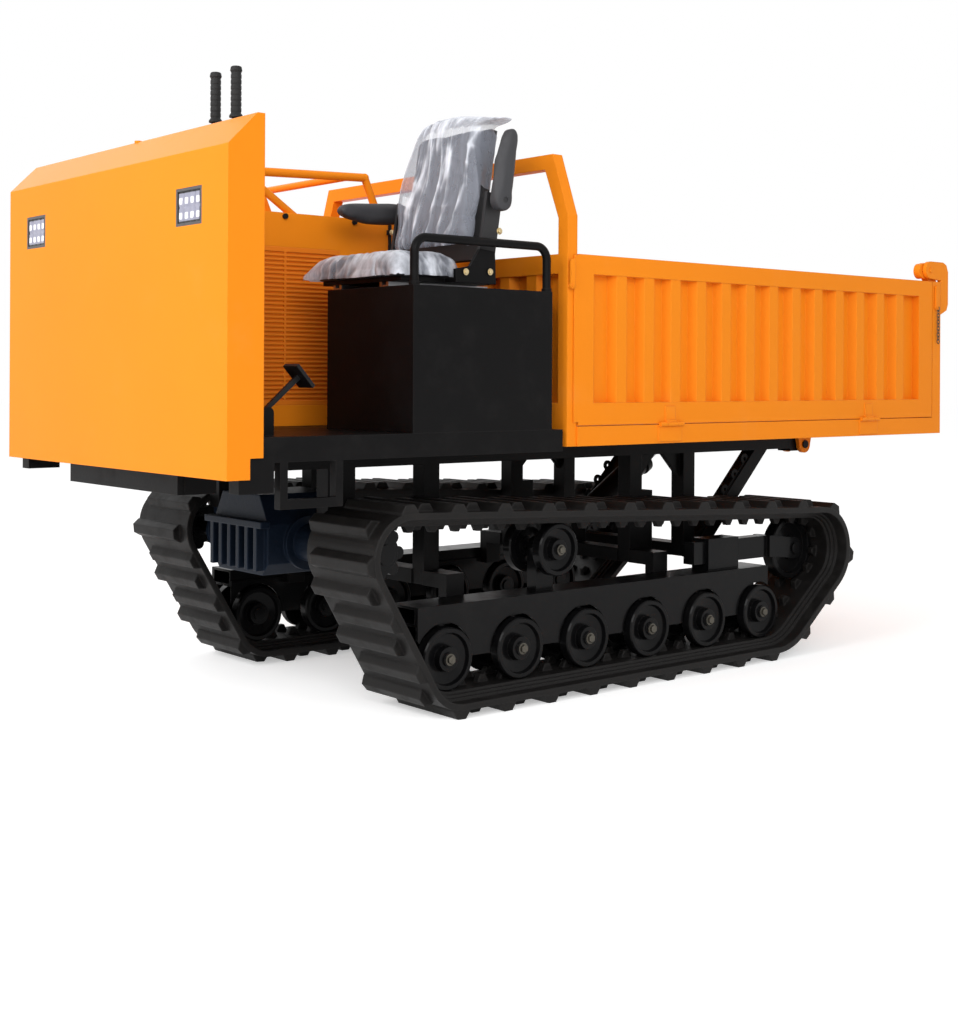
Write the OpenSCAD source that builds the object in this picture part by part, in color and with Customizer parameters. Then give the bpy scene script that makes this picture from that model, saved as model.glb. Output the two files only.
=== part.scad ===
// Tracked power carrier: rubber-tracked crawler dumper with a tipping cargo box
// Millimetres. The front faces -Y, +X is the machine's left, the ground is Z = 0.

/* [Overall] */
// Width over the tracks, the front shield and the cargo box
body_w = 1400; // [1360:10:1460]
// Length from the shield's face to the cargo box
cab_l = 1208; // [1200:4:1240]
// Length of the cargo box
bed_l = 2033; // [1993:10:2073]
// Height of the operator's deck
deck_z = 838; // [834:1:860]
// Height of the cargo box's underside
bed_z = 784; // [780:1:790]

/* [Rubber tracks] */
// Width of one belt
track_w = 340; // [320:5:350]
// Thickness of the belt at its edges, without its bars
belt_t = 20; // [18:1:24]
// Rise of the wheels' running path over the inside of the edges
path_h = 24; // [18:1:28]
// Height of the tread bars
bar_h = 24; // [18:1:26]
// Length of a tread bar along the belt, at its foot
bar_l = 60; // [50:1:64]
// Height of the guide teeth over the running path
tooth_h = 24; // [18:1:28]
// Number of tread bars on a belt, an even number
bar_count = 54; // [50:2:56]
// Sag of the belt's slope where it leaves the sprocket, degrees
belt_sag = 2.2; // [1.6:0.1:3]
// Inner radius of the belt's bend where it leaves the ground at the rear
rear_bend = 186; // [150:2:200]

/* [Wheels] */
// Radius of a road wheel
wheel_r = 94; // [88:1:98]
// Distance from one road wheel to the next
wheel_pitch = 288; // [270:2:300]
// Radius over the sprocket's lobes
sprocket_r = 84; // [80:1:90]
// Number of lobes on the sprocket
sprocket_lobes = 8; // [6:1:9]
// Height of the sprocket's axis
sprocket_z = 482; // [470:1:490]
// Radius of the rear idler
idler_r = 116; // [110:1:120]
// Height of the rear idler's axis
idler_z = 368; // [362:1:374]
// Radius of the carrier roller
carrier_r = 84; // [78:1:88]
// Width of a wheel's rim
rim_w = 38; // [30:1:44]

/* [Cargo box] */
// Height of the cargo box from its underside to the top of its sides
bed_h = 600; // [560:5:630]
// Height of the floor frame
floor_h = 62; // [58:1:70]
// Height of a side's top rail
top_rail_h = 61; // [50:1:70]
// Height of a side's bottom rail
low_rail_h = 70; // [56:1:80]
// Number of ridges on a side panel
side_ridges = 13; // [9:1:15]
// Number of ridges on the front and rear panels
end_ridges = 9; // [5:1:10]
// Depth of the panel's ridges
ridge_d = 30; // [20:1:32]
// Height of the guard frame over the front panel
guard_h = 316; // [280:2:340]
// Sheet thickness of the panels
sheet = 4; // [3:0.5:5]

/* [Front shield] */
// Height of the shield's flat face
shield_h = 872; // [840:2:880]
// Height of the shield's lower edge
shield_z = 728; // [722:1:734]
// Size of the bevel along its top
shield_bevel = 88; // [60:2:100]
// Depth of the folded side walls
shield_d = 110; // [100:1:112]
// Width of a lamp
lamp_w = 140; // [100:2:160]
// Height of a lamp
lamp_h = 102; // [80:2:120]
// Distance of a lamp from the middle
lamp_x = 494; // [420:2:540]

/* [Engine hood] */
// Height of the hood's top
hood_z = 1522; // [1480:2:1540]
// Width of the hood
hood_w = 690; // [640:5:700]
// Number of slot rows in the hood's grille
grille_rows = 34; // [20:1:40]
// Radius of the hood guard's tube
guard_r = 14; // [10:0.5:16]

/* [Seat and controls] */
// Distance of the seat's middle from the machine's left side
seat_inset = 300; // [290:2:310]
// Width of the seat cushion
seat_w = 484; // [440:4:490]
// Height of the seat box
box_h = 424; // [400:2:440]
// Lean of the backrest, degrees
back_lean = 9; // [5:1:12]
// Height of the backrest cushion
back_h = 440; // [400:5:450]
// Thickness of the seat cushion
cushion_t = 66; // [50:1:76]
// Radius of the handrail's tube
rail_r = 13; // [10:0.5:15]
// Height of the levers' pivot above the deck
lever_pivot_h = 120; // [100:2:140]
// Length of a lever above its pivot
lever_l = 900; // [860:5:910]
// Length of a lever's rubber grip
grip_l = 142; // [120:2:150]
// Radius of a lever's rubber grip
grip_r = 15; // [12:0.5:17]

/* [Fits] */
// Radial clearance of shafts and pins in their bores
fit = 0.05; // [0.02:0.01:0.08]
// Clearance between a wheel's rim and the belt
rim_gap = 0.4; // [0.35:0.05:0.8]
// Clearance round parts that slide or swing past each other
slide_gap = 1.5; // [1:0.1:1.8]

/* [Hidden] */
$fn = 48;
half_w = body_w / 2;
ear_l = 53;
front_y = -(cab_l + bed_l + ear_l) / 2;
rear_y = -front_y;
bed_front = front_y + cab_l;
bed_rear = bed_front + bed_l;
bed_top = bed_z + bed_h;
floor_z = bed_z + floor_h;

// Track layout: the middle of the road wheels and the axes of the end wheels
track_x = half_w - track_w / 2;
track_mid = bed_front + 313;
belt_h = belt_t + path_h;
wheel_z = bar_h + belt_h + rim_gap + wheel_r;
sprocket_y = track_mid - 2.5 * wheel_pitch - 200;
idler_y = track_mid + 2.5 * wheel_pitch + 254;
carrier_y = track_mid - 274;
belt_in_s = sprocket_r + 2;
belt_in_i = idler_r + rim_gap;
belt_in_w = wheel_r + rim_gap;
bar_step = 50;
tooth_in = 28;
tooth_out = 48;
rim_in = tooth_out + 4;
path_half = rim_in + rim_w + 10;
beam_half = 60;
beam_z0 = wheel_z + wheel_r + 6;
beam_z1 = beam_z0 + 58;
beam_y0 = track_mid - 2.5 * wheel_pitch - 99;
beam_y1 = track_mid + 2.5 * wheel_pitch + 61;
housing_half = 22;
axle_r = 22;
drive_r = 30;
roller_axle_r = 18;
yoke_half = 25;
yoke_lo = 24;
yoke_hi = 54;
idler_half = tooth_in - 4;

// Chassis layout
rail_x0 = 290;
rail_x1 = 350;
rail_z0 = bed_z - 62;
rail_z1 = bed_z - 2;
leg_a = track_mid + 352;
leg_b = track_mid + 632;
leg_f = track_mid - 574;
cross_z0 = beam_z1 + 22;
cross_z1 = cross_z0 + 46;
pivot_y = bed_rear - 429;
pivot_z = bed_z - 46;
pivot_r = 16;
cyl_y = leg_a;
cyl_z = cross_z1 + 37;
eye_y = pivot_y - 430;
eye_z = pivot_z + 12;
cyl_lean = atan2(eye_z - cyl_z, eye_y - cyl_y);
cyl_l = norm([eye_y - cyl_y, eye_z - cyl_z]);
barrel_l = cyl_l - 134;
piston_r = 38;

// Cargo box layout
post_x0 = half_w - 50;
lamp_z = shield_z + shield_h - 147;
post_d = 40;
post_y1 = bed_front + post_d;
gate_x1 = half_w;
gate_x0 = half_w - 38;
gate_y0 = post_y1 + 3;
gate_y1 = bed_rear - 58;
gate_z0 = floor_z + 3;
panel_z0 = gate_z0 + low_rail_h;
panel_z1 = bed_top - top_rail_h;
hinge_x = half_w + 9;
hinge_z = floor_z + 1;
knuckle_r = 7.5;
hinge_pin_r = 4;
hinge_ys = [gate_y0 + 417, gate_y1 - 421];
latch_z = bed_top - 100;
latch_pin_r = 6;
ear_y = bed_rear - 67;
ear_z = bed_top + 45;
ear_pin_r = 11;
tail_y0 = bed_rear + 2;
tail_y1 = bed_rear + 42;
tail_half = half_w - 28;

// Cab layout
plat_y0 = front_y + shield_d + 2;
plat_y1 = bed_front - 15;
plat_half = half_w - 10;
deck_t = 8;
seat_x = half_w - seat_inset;
box_x0 = seat_x - 143;
box_x1 = plat_half;
box_y0 = front_y + 610;
box_y1 = bed_front - 61;
box_z = deck_z + box_h;
hood_x1 = 0;
hood_x0 = -hood_w;
hood_y0 = front_y + 127;
hood_y1 = bed_front - 31;
grille_y0 = hood_y0 + 80;
grille_y1 = hood_y1 - 345;
grille_z0 = deck_z + 67;
grille_z1 = hood_z - 110;
lever_y = front_y + 170;
lever_z = deck_z + lever_pivot_h;
lever_xs = [seat_x - 62, seat_x + 50];
lever_pin_r = 12;
pedal_x = seat_x + 160;
pedal_y = front_y + 190;
pedal_z = deck_z + 60;
fan_r = 150;
fan_x = hood_x0 + 345;
fan_z = deck_z + 330;
fan_y = hood_y0 + 120;

// Seat layout
pan_z = box_z + 16;
pan_top = pan_z + 14;
seat_front = box_y0 - 18;
seat_rear = box_y0 + 327;
recline_y = box_y0 + 300;
recline_z = pan_top + 40;
arm_y = 15.4;
arm_z = 203;
arm_pin_r = 9;
arm_l = 225;
arm_x = 265;
back_w = 356;

orange = [0.94, 0.50, 0.09];
frame_black = [0.11, 0.11, 0.12];
steel = [0.55, 0.56, 0.58];
rubber_black = [0.13, 0.13, 0.13];
navy = [0.08, 0.12, 0.20];
glass_white = [0.85, 0.88, 0.90];
seat_black = [0.16, 0.16, 0.17];

// Helpers

module block(x0, x1, y0, y1, z0, z1) {
  translate([x0, y0, z0]) cube([x1 - x0, y1 - y0, z1 - z0]);
}

module both_sides() {
  children();
  mirror([1, 0, 0]) children();
}

// A flat outline in the Y-Z plane given thickness along X
module side_plate(x0, x1) {
  translate([x0, 0, 0]) rotate([90, 0, 90]) linear_extrude(x1 - x0) children();
}

// A flat outline in the X-Z plane given thickness along Y
module cross_plate(y0, y1) {
  translate([0, y1, 0]) rotate([90, 0, 0]) linear_extrude(y1 - y0) children();
}

module rod_x(x0, x1, y, z, r) {
  translate([x0, y, z]) rotate([0, 90, 0]) cylinder(r = r, h = x1 - x0);
}

module rod_y(y0, y1, x, z, r) {
  translate([x, y1, z]) rotate([90, 0, 0]) cylinder(r = r, h = y1 - y0);
}

// A straight round bar between two points
module bar(a, b, r) {
  d = b - a;
  translate(a) rotate([0, acos(d[2] / norm(d)), atan2(d[1], d[0])]) cylinder(r = r, h = norm(d));
}

// Box tube along X, open at both ends
module box_tube_x(x0, x1, y0, y1, z0, z1, wall) {
  difference() {
    block(x0, x1, y0, y1, z0, z1);
    block(x0 - 1, x1 + 1, y0 + wall, y1 - wall, z0 + wall, z1 - wall);
  }
}

// Ridged sheet between two positions: outer skin at depth 0, valleys at -d
function ridge_line(a, b, count, d, off) =
  let (p = (b - a) / (count + 1))
  concat([[a, off - d]],
    [for (k = [1 : count]) for (q = [[-0.3, -d], [-0.18, 0], [0.18, 0], [0.3, -d]])
      [a + (k + q[0]) * p, off + q[1]]],
    [[b, off - d]]);

function turned_back(list) = [for (i = [len(list) - 1 : -1 : 0]) list[i]];

module ridged(a, b, count, d) {
  polygon(concat(ridge_line(a, b, count, d, 0), turned_back(ridge_line(a, b, count, d, -sheet))));
}

// Belt path round the wheels, in the Y-Z plane
circle_s = [sprocket_y, sprocket_z, belt_in_s];
circle_i = [idler_y, idler_z, belt_in_i];
circle_6 = [track_mid + 2.5 * wheel_pitch, wheel_z - belt_in_w + rear_bend, rear_bend];
circle_1 = [track_mid - 2.5 * wheel_pitch, wheel_z, belt_in_w];

function round_up(a) = a < 0 ? a + 360 : a;
function leave_angle(a, b) =
  let (d = [b[0] - a[0], b[1] - a[1]]) round_up(asin((a[2] - b[2]) / norm(d)) - atan2(d[1], d[0]));
function out(a) = [sin(a), cos(a)];
function on_circle(c, a) = [c[0], c[1]] + c[2] * out(a);
function wrap(c, a0, a1, n) =
  [for (i = [0 : n]) let (a = a0 + (a1 - a0) * i / n) [on_circle(c, a), out(a)]];

angle_top_s = belt_sag;
angle_top_i = 2.2;
angle_i6 = leave_angle(circle_i, circle_6);
angle_61 = leave_angle(circle_6, circle_1);
angle_1s = leave_angle(circle_1, circle_s);
top_a = on_circle(circle_s, angle_top_s);
top_d = on_circle(circle_i, angle_top_i);
third = norm(top_d - top_a) / 3;
top_b = top_a + third * [cos(angle_top_s), -sin(angle_top_s)];
top_c = top_d - third * [cos(angle_top_i), -sin(angle_top_i)];
function top_point(t) =
  pow(1 - t, 3) * top_a + 3 * t * pow(1 - t, 2) * top_b + 3 * t * t * (1 - t) * top_c + t * t * t * top_d;
function top_slope(t) =
  let (v = pow(1 - t, 2) * (top_b - top_a) + 2 * t * (1 - t) * (top_c - top_b) + t * t * (top_d - top_c))
  v / norm(v);
top_run = [for (i = [1 : 15]) let (t = i / 16, v = top_slope(t)) [top_point(t), [-v[1], v[0]]]];
path = concat(wrap(circle_s, angle_top_s, angle_top_s, 0.5), top_run,
  wrap(circle_i, angle_top_i, angle_i6, 20), wrap(circle_6, angle_i6, angle_61, 8),
  wrap(circle_1, angle_61, angle_1s, 9),
  wrap(circle_s, angle_1s, 360 + angle_top_s - 6, 18));
function belt_line(depth) = [for (p = path) p[0] + depth * p[1]];
mid_line = concat(belt_line(belt_h / 2), [path[0][0] + belt_h / 2 * path[0][1]]);
mid_run = [for (i = 0, s = 0; i < len(mid_line);
  s = i + 1 < len(mid_line) ? s + norm(mid_line[i + 1] - mid_line[i]) : s, i = i + 1) s];
belt_length = mid_run[len(mid_run) - 1];
mid_y = [for (i = [0 : len(mid_line) - 1]) [mid_run[i], mid_line[i][0]]];
mid_z = [for (i = [0 : len(mid_line) - 1]) [mid_run[i], mid_line[i][1]]];
function along(s) = let (w = (s + belt_length) % belt_length) [lookup(w, mid_y), lookup(w, mid_z)];
function heading(s) = let (d = along(s + 6) - along(s - 6)) atan2(d[1], d[0]);
belt_pitch = belt_length / bar_count;
bar_phase = -0.08;

// Height of the belt's inside over the carrier roller
function top_height(y, i = 0) =
  top_point((i + 1) / 64)[0] >= y || i > 62 ? top_point((i + 1) / 64)[1] : top_height(y, i + 1);
carrier_z = top_height(carrier_y) - carrier_r - 1;

module at_belt(k) {
  s = (k + bar_phase) * belt_pitch;
  translate(along(s)) rotate(heading(s)) children();
}

module belt_ring(from, to) {
  difference() {
    polygon(belt_line(to));
    polygon(belt_line(from));
  }
}

module tread_bars(first) {
  for (k = [first : 2 : bar_count - 1])
    at_belt(k) translate([0, belt_h / 2])
      polygon([[-bar_l / 2, -6], [bar_l / 2, -6], [bar_l / 2, 2], [bar_l / 4, bar_h], [-bar_l / 4, bar_h],
        [-bar_l / 2, 2]]);
}

module guide_teeth() {
  for (k = [0 : bar_count - 1])
    at_belt(k) translate([0, -belt_h / 2])
      polygon([[-23, 5], [23, 5], [20, -4], [9, -tooth_h], [-9, -tooth_h], [-20, -4]]);
}

// Chassis and undercarriage

module chassis_side() {
  block(rail_x0, rail_x1, plat_y0 + 20, pivot_y - 20, rail_z0, rail_z1);
  side_plate(rail_x0, rail_x1) difference() {
    union() {
      translate([pivot_y, pivot_z]) circle(r = 26);
      translate([pivot_y - 70, pivot_z - 26]) square([70, 52]);
    }
    translate([pivot_y - 60, pivot_z - 6]) circle(r = 7);
  }
  rod_x(rail_x0 - 24, rail_x1 + 24, pivot_y, pivot_z, pivot_r);
  for (y = [leg_f, leg_a, leg_b])
    block(rail_x0, rail_x1, y - 30, y + 30, cross_z0, rail_z0 + 1);
  for (y = [leg_f, leg_a, leg_b]) {
    box_tube_x(rail_x1 - 1, track_x - beam_half - 39, y - 35, y + 35, cross_z0, cross_z1, 6);
    block(track_x - beam_half - 40, track_x - beam_half, y - 35, y + 35, beam_z0, cross_z1);
  }
  block(rail_x0, rail_x1, sprocket_y - 50, sprocket_y + 50, sprocket_z + 78, rail_z0 + 1);
  side_plate(rail_x0 + 20, rail_x0 + 40)
    polygon([[leg_b - 120, rail_z0 + 1], [leg_b - 29, rail_z0 + 1], [leg_b - 29, rail_z0 - 90]]);
  side_plate(rail_x0 + 20, rail_x0 + 40)
    polygon([[leg_a + 29, rail_z0 + 1], [leg_a + 120, rail_z0 + 1], [leg_a + 29, rail_z0 - 90]]);
  block(rail_x0, rail_x1, leg_a + 29, leg_a + 84, cross_z0, cross_z0 + 252);
  side_plate(rail_x0, rail_x1)
    polygon([[leg_b + 29, cross_z0 + 32], [leg_b + 29, cross_z0], [leg_b + 76, cross_z0],
      [pivot_y - 210, rail_z0 + 1], [pivot_y - 285, rail_z0 + 1]]);
  strut_strip();
}

// Scalloped strip with holes along the front edge of the diagonal strut
module strut_strip() {
  foot = [leg_b + 29, cross_z0 + 32];
  head = [pivot_y - 285, rail_z0 + 1];
  lean = atan2(head[1] - foot[1], head[0] - foot[0]);
  len = norm(head - foot);
  side_plate(rail_x1 - 14, rail_x1 - 6) translate(foot) rotate(lean) difference() {
    union() {
      translate([60, -20]) square([len - 100, 30]);
      for (k = [0 : 4]) translate([110 + k * 80, 14]) circle(r = 20);
    }
    for (k = [0 : 4]) translate([110 + k * 80, 14]) circle(r = 7);
  }
}

module chassis_frame() {
  color(frame_black) difference() {
    union() {
      both_sides() chassis_side();
      for (y = [leg_f, leg_a, leg_b])
        block(-rail_x0 - 1, rail_x0 + 1, y - 35, y + 35, cross_z0, cross_z1);
      for (y = [leg_f, leg_a])
        block(-rail_x0 - 1, rail_x0 + 1, y - 30, y + 30, rail_z0, rail_z1);
      block(-rail_x1 + 5, rail_x1 - 5, plat_y0 - 60, plat_y0 - 6, shield_z - 62, shield_z - 6);
      both_sides() block(rail_x0, rail_x1, plat_y0 - 40, plat_y0 + 60, shield_z - 62, rail_z0 + 1);
      both_sides() side_plate(40, 58) difference() {
        translate([cyl_y - 35, cross_z1 - 1]) square([70, cyl_z + 34 - cross_z1]);
        translate([cyl_y, cyl_z]) circle(r = 14);
      }
    }
  }
  color(steel) rod_x(-58, 58, cyl_y, cyl_z, 14);
}

module track_frame_left() {
  color(frame_black) {
    difference() {
      union() {
        block(track_x - beam_half, track_x + beam_half, beam_y0, beam_y1, beam_z0, beam_z1);
        side_plate(track_x + beam_half - 1, track_x + beam_half + 8) difference() {
          polygon([[beam_y0, beam_z1], [beam_y1, beam_z1], [beam_y1, beam_z0 - 40],
            [beam_y1 - 40, wheel_z - 4], [beam_y0 + 40, wheel_z - 4], [beam_y0, beam_z0 - 40]]);
          for (i = [0 : 5])
            translate([track_mid + (i - 2.5) * wheel_pitch, wheel_z]) circle(r = wheel_r + 12);
        }
      }
      block(track_x - beam_half + 8, track_x + beam_half - 8, beam_y0 - 1, beam_y1 + 1,
        beam_z0 + 8, beam_z1 - 8);
    }
    for (i = [0 : 5]) wheel_hanger(track_mid + (i - 2.5) * wheel_pitch);
    side_plate(track_x - housing_half, track_x + housing_half) difference() {
      union() {
        translate([carrier_y, carrier_z]) circle(r = 36);
        translate([carrier_y - 36, beam_z1 - 1]) square([72, carrier_z - beam_z1 + 1]);
      }
      translate([carrier_y, carrier_z]) circle(r = roller_axle_r + fit);
    }
    difference() {
      block(track_x - yoke_half - 14, track_x + yoke_half + 14, leg_b - 140, leg_b + 20, beam_z1 - 1,
        idler_z + yoke_hi + 10);
      block(track_x - yoke_half - slide_gap / 3, track_x + yoke_half + slide_gap / 3, leg_b - 141, leg_b + 21,
        idler_z - yoke_lo - slide_gap / 3, idler_z + yoke_hi + slide_gap / 3);
    }
  }
}

module wheel_hanger(y) {
  side_plate(track_x - housing_half, track_x + housing_half) difference() {
    union() {
      translate([y, wheel_z]) circle(r = 38);
      translate([y - 38, wheel_z]) square([76, beam_z0 - wheel_z + 1]);
    }
    translate([y, wheel_z]) circle(r = axle_r + fit);
  }
}

module rubber_track_left() {
  color(rubber_black) {
    side_plate(half_w - track_w, half_w) belt_ring(path_h, belt_h);
    for (k = [0 : 2])
      side_plate(track_x - path_half - 12 * k, track_x + path_half + 12 * k)
        belt_ring(path_h * k / 3, path_h + 1);
    side_plate(half_w - track_w + bar_step, half_w - 2) tread_bars(0);
    side_plate(half_w - track_w + 2, half_w - bar_step) tread_bars(1);
    side_plate(track_x - tooth_out, track_x - tooth_in) guide_teeth();
    side_plate(track_x + tooth_in, track_x + tooth_out) guide_teeth();
  }
}

// A dished wheel half, its open face outward, turned about X
module wheel_half(r, hub_r, bore_r) {
  web = r - 22;
  rotate([90, 0, 90]) rotate_extrude()
    polygon([[bore_r, 0], [hub_r, 0], [hub_r, rim_w * 0.25], [web, rim_w * 0.42], [web, 0], [r - 4, 0],
      [r, 4], [r, rim_w - 4], [r - 4, rim_w], [r - 15, rim_w], [web + 2, rim_w * 0.64],
      [hub_r + 4, rim_w * 0.48], [hub_r, rim_w + 2], [bore_r, rim_w + 2]]);
}

module twin_wheel(y, z, r, hub_r, axle) {
  for (side = [0, 1])
    translate([track_x, y, z]) mirror([side, 0, 0]) translate([rim_in, 0, 0]) wheel_half(r, hub_r, axle - 2);
  rod_x(track_x - rim_in - rim_w - 8, track_x + rim_in + rim_w + 8, y, z, axle);
}

module road_wheel_left(i) {
  color(frame_black) twin_wheel(track_mid + (i - 3.5) * wheel_pitch, wheel_z, wheel_r, 36, axle_r);
}

module carrier_roller_left() {
  color(frame_black) twin_wheel(carrier_y, carrier_z, carrier_r, 32, roller_axle_r);
}

module sprocket_left() {
  color(frame_black) {
    side_plate(track_x - 20, track_x + 20) translate([sprocket_y, sprocket_z]) union() {
      circle(r = sprocket_r - 19);
      for (k = [0 : sprocket_lobes - 1])
        rotate(k * 360 / sprocket_lobes) translate([sprocket_r - 19, 0]) circle(r = 19);
    }
    rod_x(track_x - 44, track_x + 44, sprocket_y, sprocket_z, 44);
  }
  color(steel) rod_x(210, track_x + 52, sprocket_y, sprocket_z, drive_r);
}

module idler_left() {
  web = idler_r - 26;
  color(frame_black) {
    translate([track_x, idler_y, idler_z]) rotate([90, 0, 90]) rotate_extrude()
      polygon([[axle_r - 2, -idler_half], [44, -idler_half], [44, -9], [web, -6], [web + 8, -idler_half],
        [idler_r - 4, -idler_half], [idler_r, 4 - idler_half], [idler_r, idler_half - 4],
        [idler_r - 4, idler_half], [web + 8, idler_half], [web, 6], [44, 9], [44, idler_half],
        [axle_r - 2, idler_half]]);
    rod_x(track_x - 46, track_x + 46, idler_y, idler_z, axle_r);
  }
}

// Bar that slides in the track frame, with a fork round the idler
module tension_yoke_left() {
  fork_y = idler_y - idler_r - 30;
  fork_x = idler_half + 3;
  color(frame_black) difference() {
    union() {
      block(track_x - yoke_half, track_x + yoke_half, leg_b - 200, fork_y + 1,
        idler_z - yoke_lo, idler_z + yoke_hi);
      block(track_x - fork_x - 12, track_x + fork_x + 12, fork_y, fork_y + 22,
        idler_z - yoke_lo, idler_z + yoke_hi);
      both_forks(fork_x) union() {
        translate([idler_y, idler_z]) circle(r = 38);
        polygon([[fork_y + 21, idler_z - yoke_lo], [idler_y, idler_z - 38], [idler_y, idler_z + 38],
          [fork_y + 21, idler_z + yoke_hi]]);
      }
    }
    rod_x(track_x - 50, track_x + 50, idler_y, idler_z, axle_r + fit);
  }
}

module both_forks(x) {
  side_plate(track_x - x - 12, track_x - x) children();
  side_plate(track_x + x, track_x + x + 12) children();
}

module gearbox() {
  color(navy) difference() {
    union() {
      cross_plate(sprocket_y - 140, sprocket_y + 150)
        polygon([[-130, sprocket_z - 96], [130, sprocket_z - 96], [160, sprocket_z - 60],
          [160, sprocket_z + 60], [110, sprocket_z + 150], [-110, sprocket_z + 150],
          [-160, sprocket_z + 60], [-160, sprocket_z - 60]]);
      for (x = [-130, -78, -26, 26, 78, 130])
        block(x - 9, x + 9, sprocket_y - 168, sprocket_y - 139, sprocket_z - 80, sprocket_z + 52);
      block(-170, 170, sprocket_y - 172, sprocket_y - 139, sprocket_z + 52, sprocket_z + 72);
      both_sides() {
        rod_x(150, 335, sprocket_y, sprocket_z, 58);
        rod_x(158, 176, sprocket_y, sprocket_z, 84);
        rod_x(318, 336, sprocket_y, sprocket_z, 72);
        block(rail_x0, rail_x1 - 16, sprocket_y - 44, sprocket_y + 44, sprocket_z + 30, sprocket_z + 78);
      }
    }
    both_sides() rod_x(200, 340, sprocket_y, sprocket_z, drive_r + fit);
  }
}

// Operator's platform and cab

module operator_platform() {
  color(frame_black) {
    block(-plat_half, plat_half, plat_y0, plat_y1, deck_z - deck_t, deck_z);
    both_sides() {
      difference() {
        block(plat_half - 50, plat_half, plat_y0, plat_y1, rail_z0 + 48, deck_z - deck_t + 1);
        block(plat_half - 51, plat_half - 8, plat_y0 + 8, plat_y1 - 8, rail_z0 + 56, deck_z - deck_t);
      }
      block(plat_half - 50, plat_half, front_y + 42, plat_y0 + 37, shield_z - 38, deck_z);
      block(rail_x0 - 20, plat_half - 7, plat_y0 + 60, plat_y0 + 100, rail_z1, deck_z - deck_t + 1);
      block(rail_x0 - 20, plat_half - 7, box_y0 + 20, box_y0 + 60, rail_z1, deck_z - deck_t + 1);
      block(rail_x0 - 20, plat_half - 7, plat_y1 - 60, plat_y1 - 20, rail_z1, deck_z - deck_t + 1);
    }
    difference() {
      block(plat_half - 28, plat_half, plat_y0 + 56, plat_y0 + 258, rail_z0 - 78, rail_z0 + 49);
      block(plat_half - 29, plat_half + 1, plat_y0 + 80, plat_y0 + 234, rail_z0 - 52, rail_z0 + 48);
    }
    lever_stand();
  }
}

// Pedestal that carries the pivot shafts of the levers and of the pedal
module lever_stand() {
  for (x = [lever_xs[0] - 44, (lever_xs[0] + lever_xs[1]) / 2 - 8, lever_xs[1] + 28])
    side_plate(x, x + 16) union() {
      translate([lever_y, lever_z]) circle(r = 26);
      polygon([[lever_y - 60, deck_z - 1], [lever_y + 60, deck_z - 1], [lever_y + 26, lever_z],
        [lever_y - 26, lever_z]]);
    }
  rod_x(lever_xs[0] - 36, lever_xs[1] + 36, lever_y, lever_z, lever_pin_r);
  for (x = [pedal_x - 34, pedal_x + 22])
    side_plate(x, x + 12) union() {
      translate([pedal_y, pedal_z]) circle(r = 18);
      translate([pedal_y - 18, deck_z - 1]) square([36, pedal_z - deck_z + 1]);
    }
  rod_x(pedal_x - 30, pedal_x + 30, pedal_y, pedal_z, 8);
}

module lever(x) {
  color(steel) {
    difference() {
      rod_x(x - 16, x + 16, lever_y, lever_z, 22);
      rod_x(x - 17, x + 17, lever_y, lever_z, lever_pin_r + fit);
    }
    translate([x, lever_y, lever_z + 20]) cylinder(r = 9, h = lever_l - grip_l - 20);
    translate([x, lever_y, lever_z + lever_l - grip_l - 6]) cylinder(r = 12, h = 6);
    translate([x, lever_y, lever_z + lever_l - grip_l - 1]) cylinder(r = 8, h = grip_l - 9);
  }
}

module grip(x) {
  z0 = lever_z + lever_l - grip_l;
  color(rubber_black) translate([x, lever_y, z0]) rotate_extrude()
    polygon(concat([[8, 0], [grip_r + 4, 0], [grip_r + 4, 5], [grip_r - 1, 12]],
      [for (k = [0 : 6]) for (q = [[0, 0], [1, 3], [1, 10], [0, 13]])
        [grip_r - 1 + q[0], 14 + k * (grip_l - 34) / 7 + q[1] * (grip_l - 34) / 98]],
      [[grip_r - 1, grip_l - 18], [grip_r + 2, grip_l - 12], [grip_r, grip_l - 2], [grip_r - 3, grip_l],
        [0, grip_l], [0, grip_l - 10], [8, grip_l - 10]]));
}

module brake_pedal() {
  color(steel) difference() {
    union() {
      rod_x(pedal_x - 20, pedal_x + 20, pedal_y, pedal_z, 16);
      side_plate(pedal_x - 6, pedal_x + 6)
        polygon([[pedal_y - 8, pedal_z], [pedal_y + 10, pedal_z], [pedal_y + 120, pedal_z + 92],
          [pedal_y + 120, pedal_z + 112]]);
      translate([pedal_x, pedal_y + 120, pedal_z + 102]) rotate([-48, 0, 0])
        translate([-36, -40, -5]) cube([72, 80, 10]);
    }
    rod_x(pedal_x - 21, pedal_x + 21, pedal_y, pedal_z, 8 + fit);
  }
}

module shield_side() {
  polygon([[front_y, shield_z], [front_y, shield_z + shield_h],
    [front_y + shield_bevel, shield_z + shield_h + shield_bevel],
    [front_y + shield_d, shield_z + shield_h + shield_bevel], [front_y + shield_d, shield_z + 56],
    [front_y + shield_d - 40, shield_z + 56], [front_y + shield_d - 40, shield_z]]);
}

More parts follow.
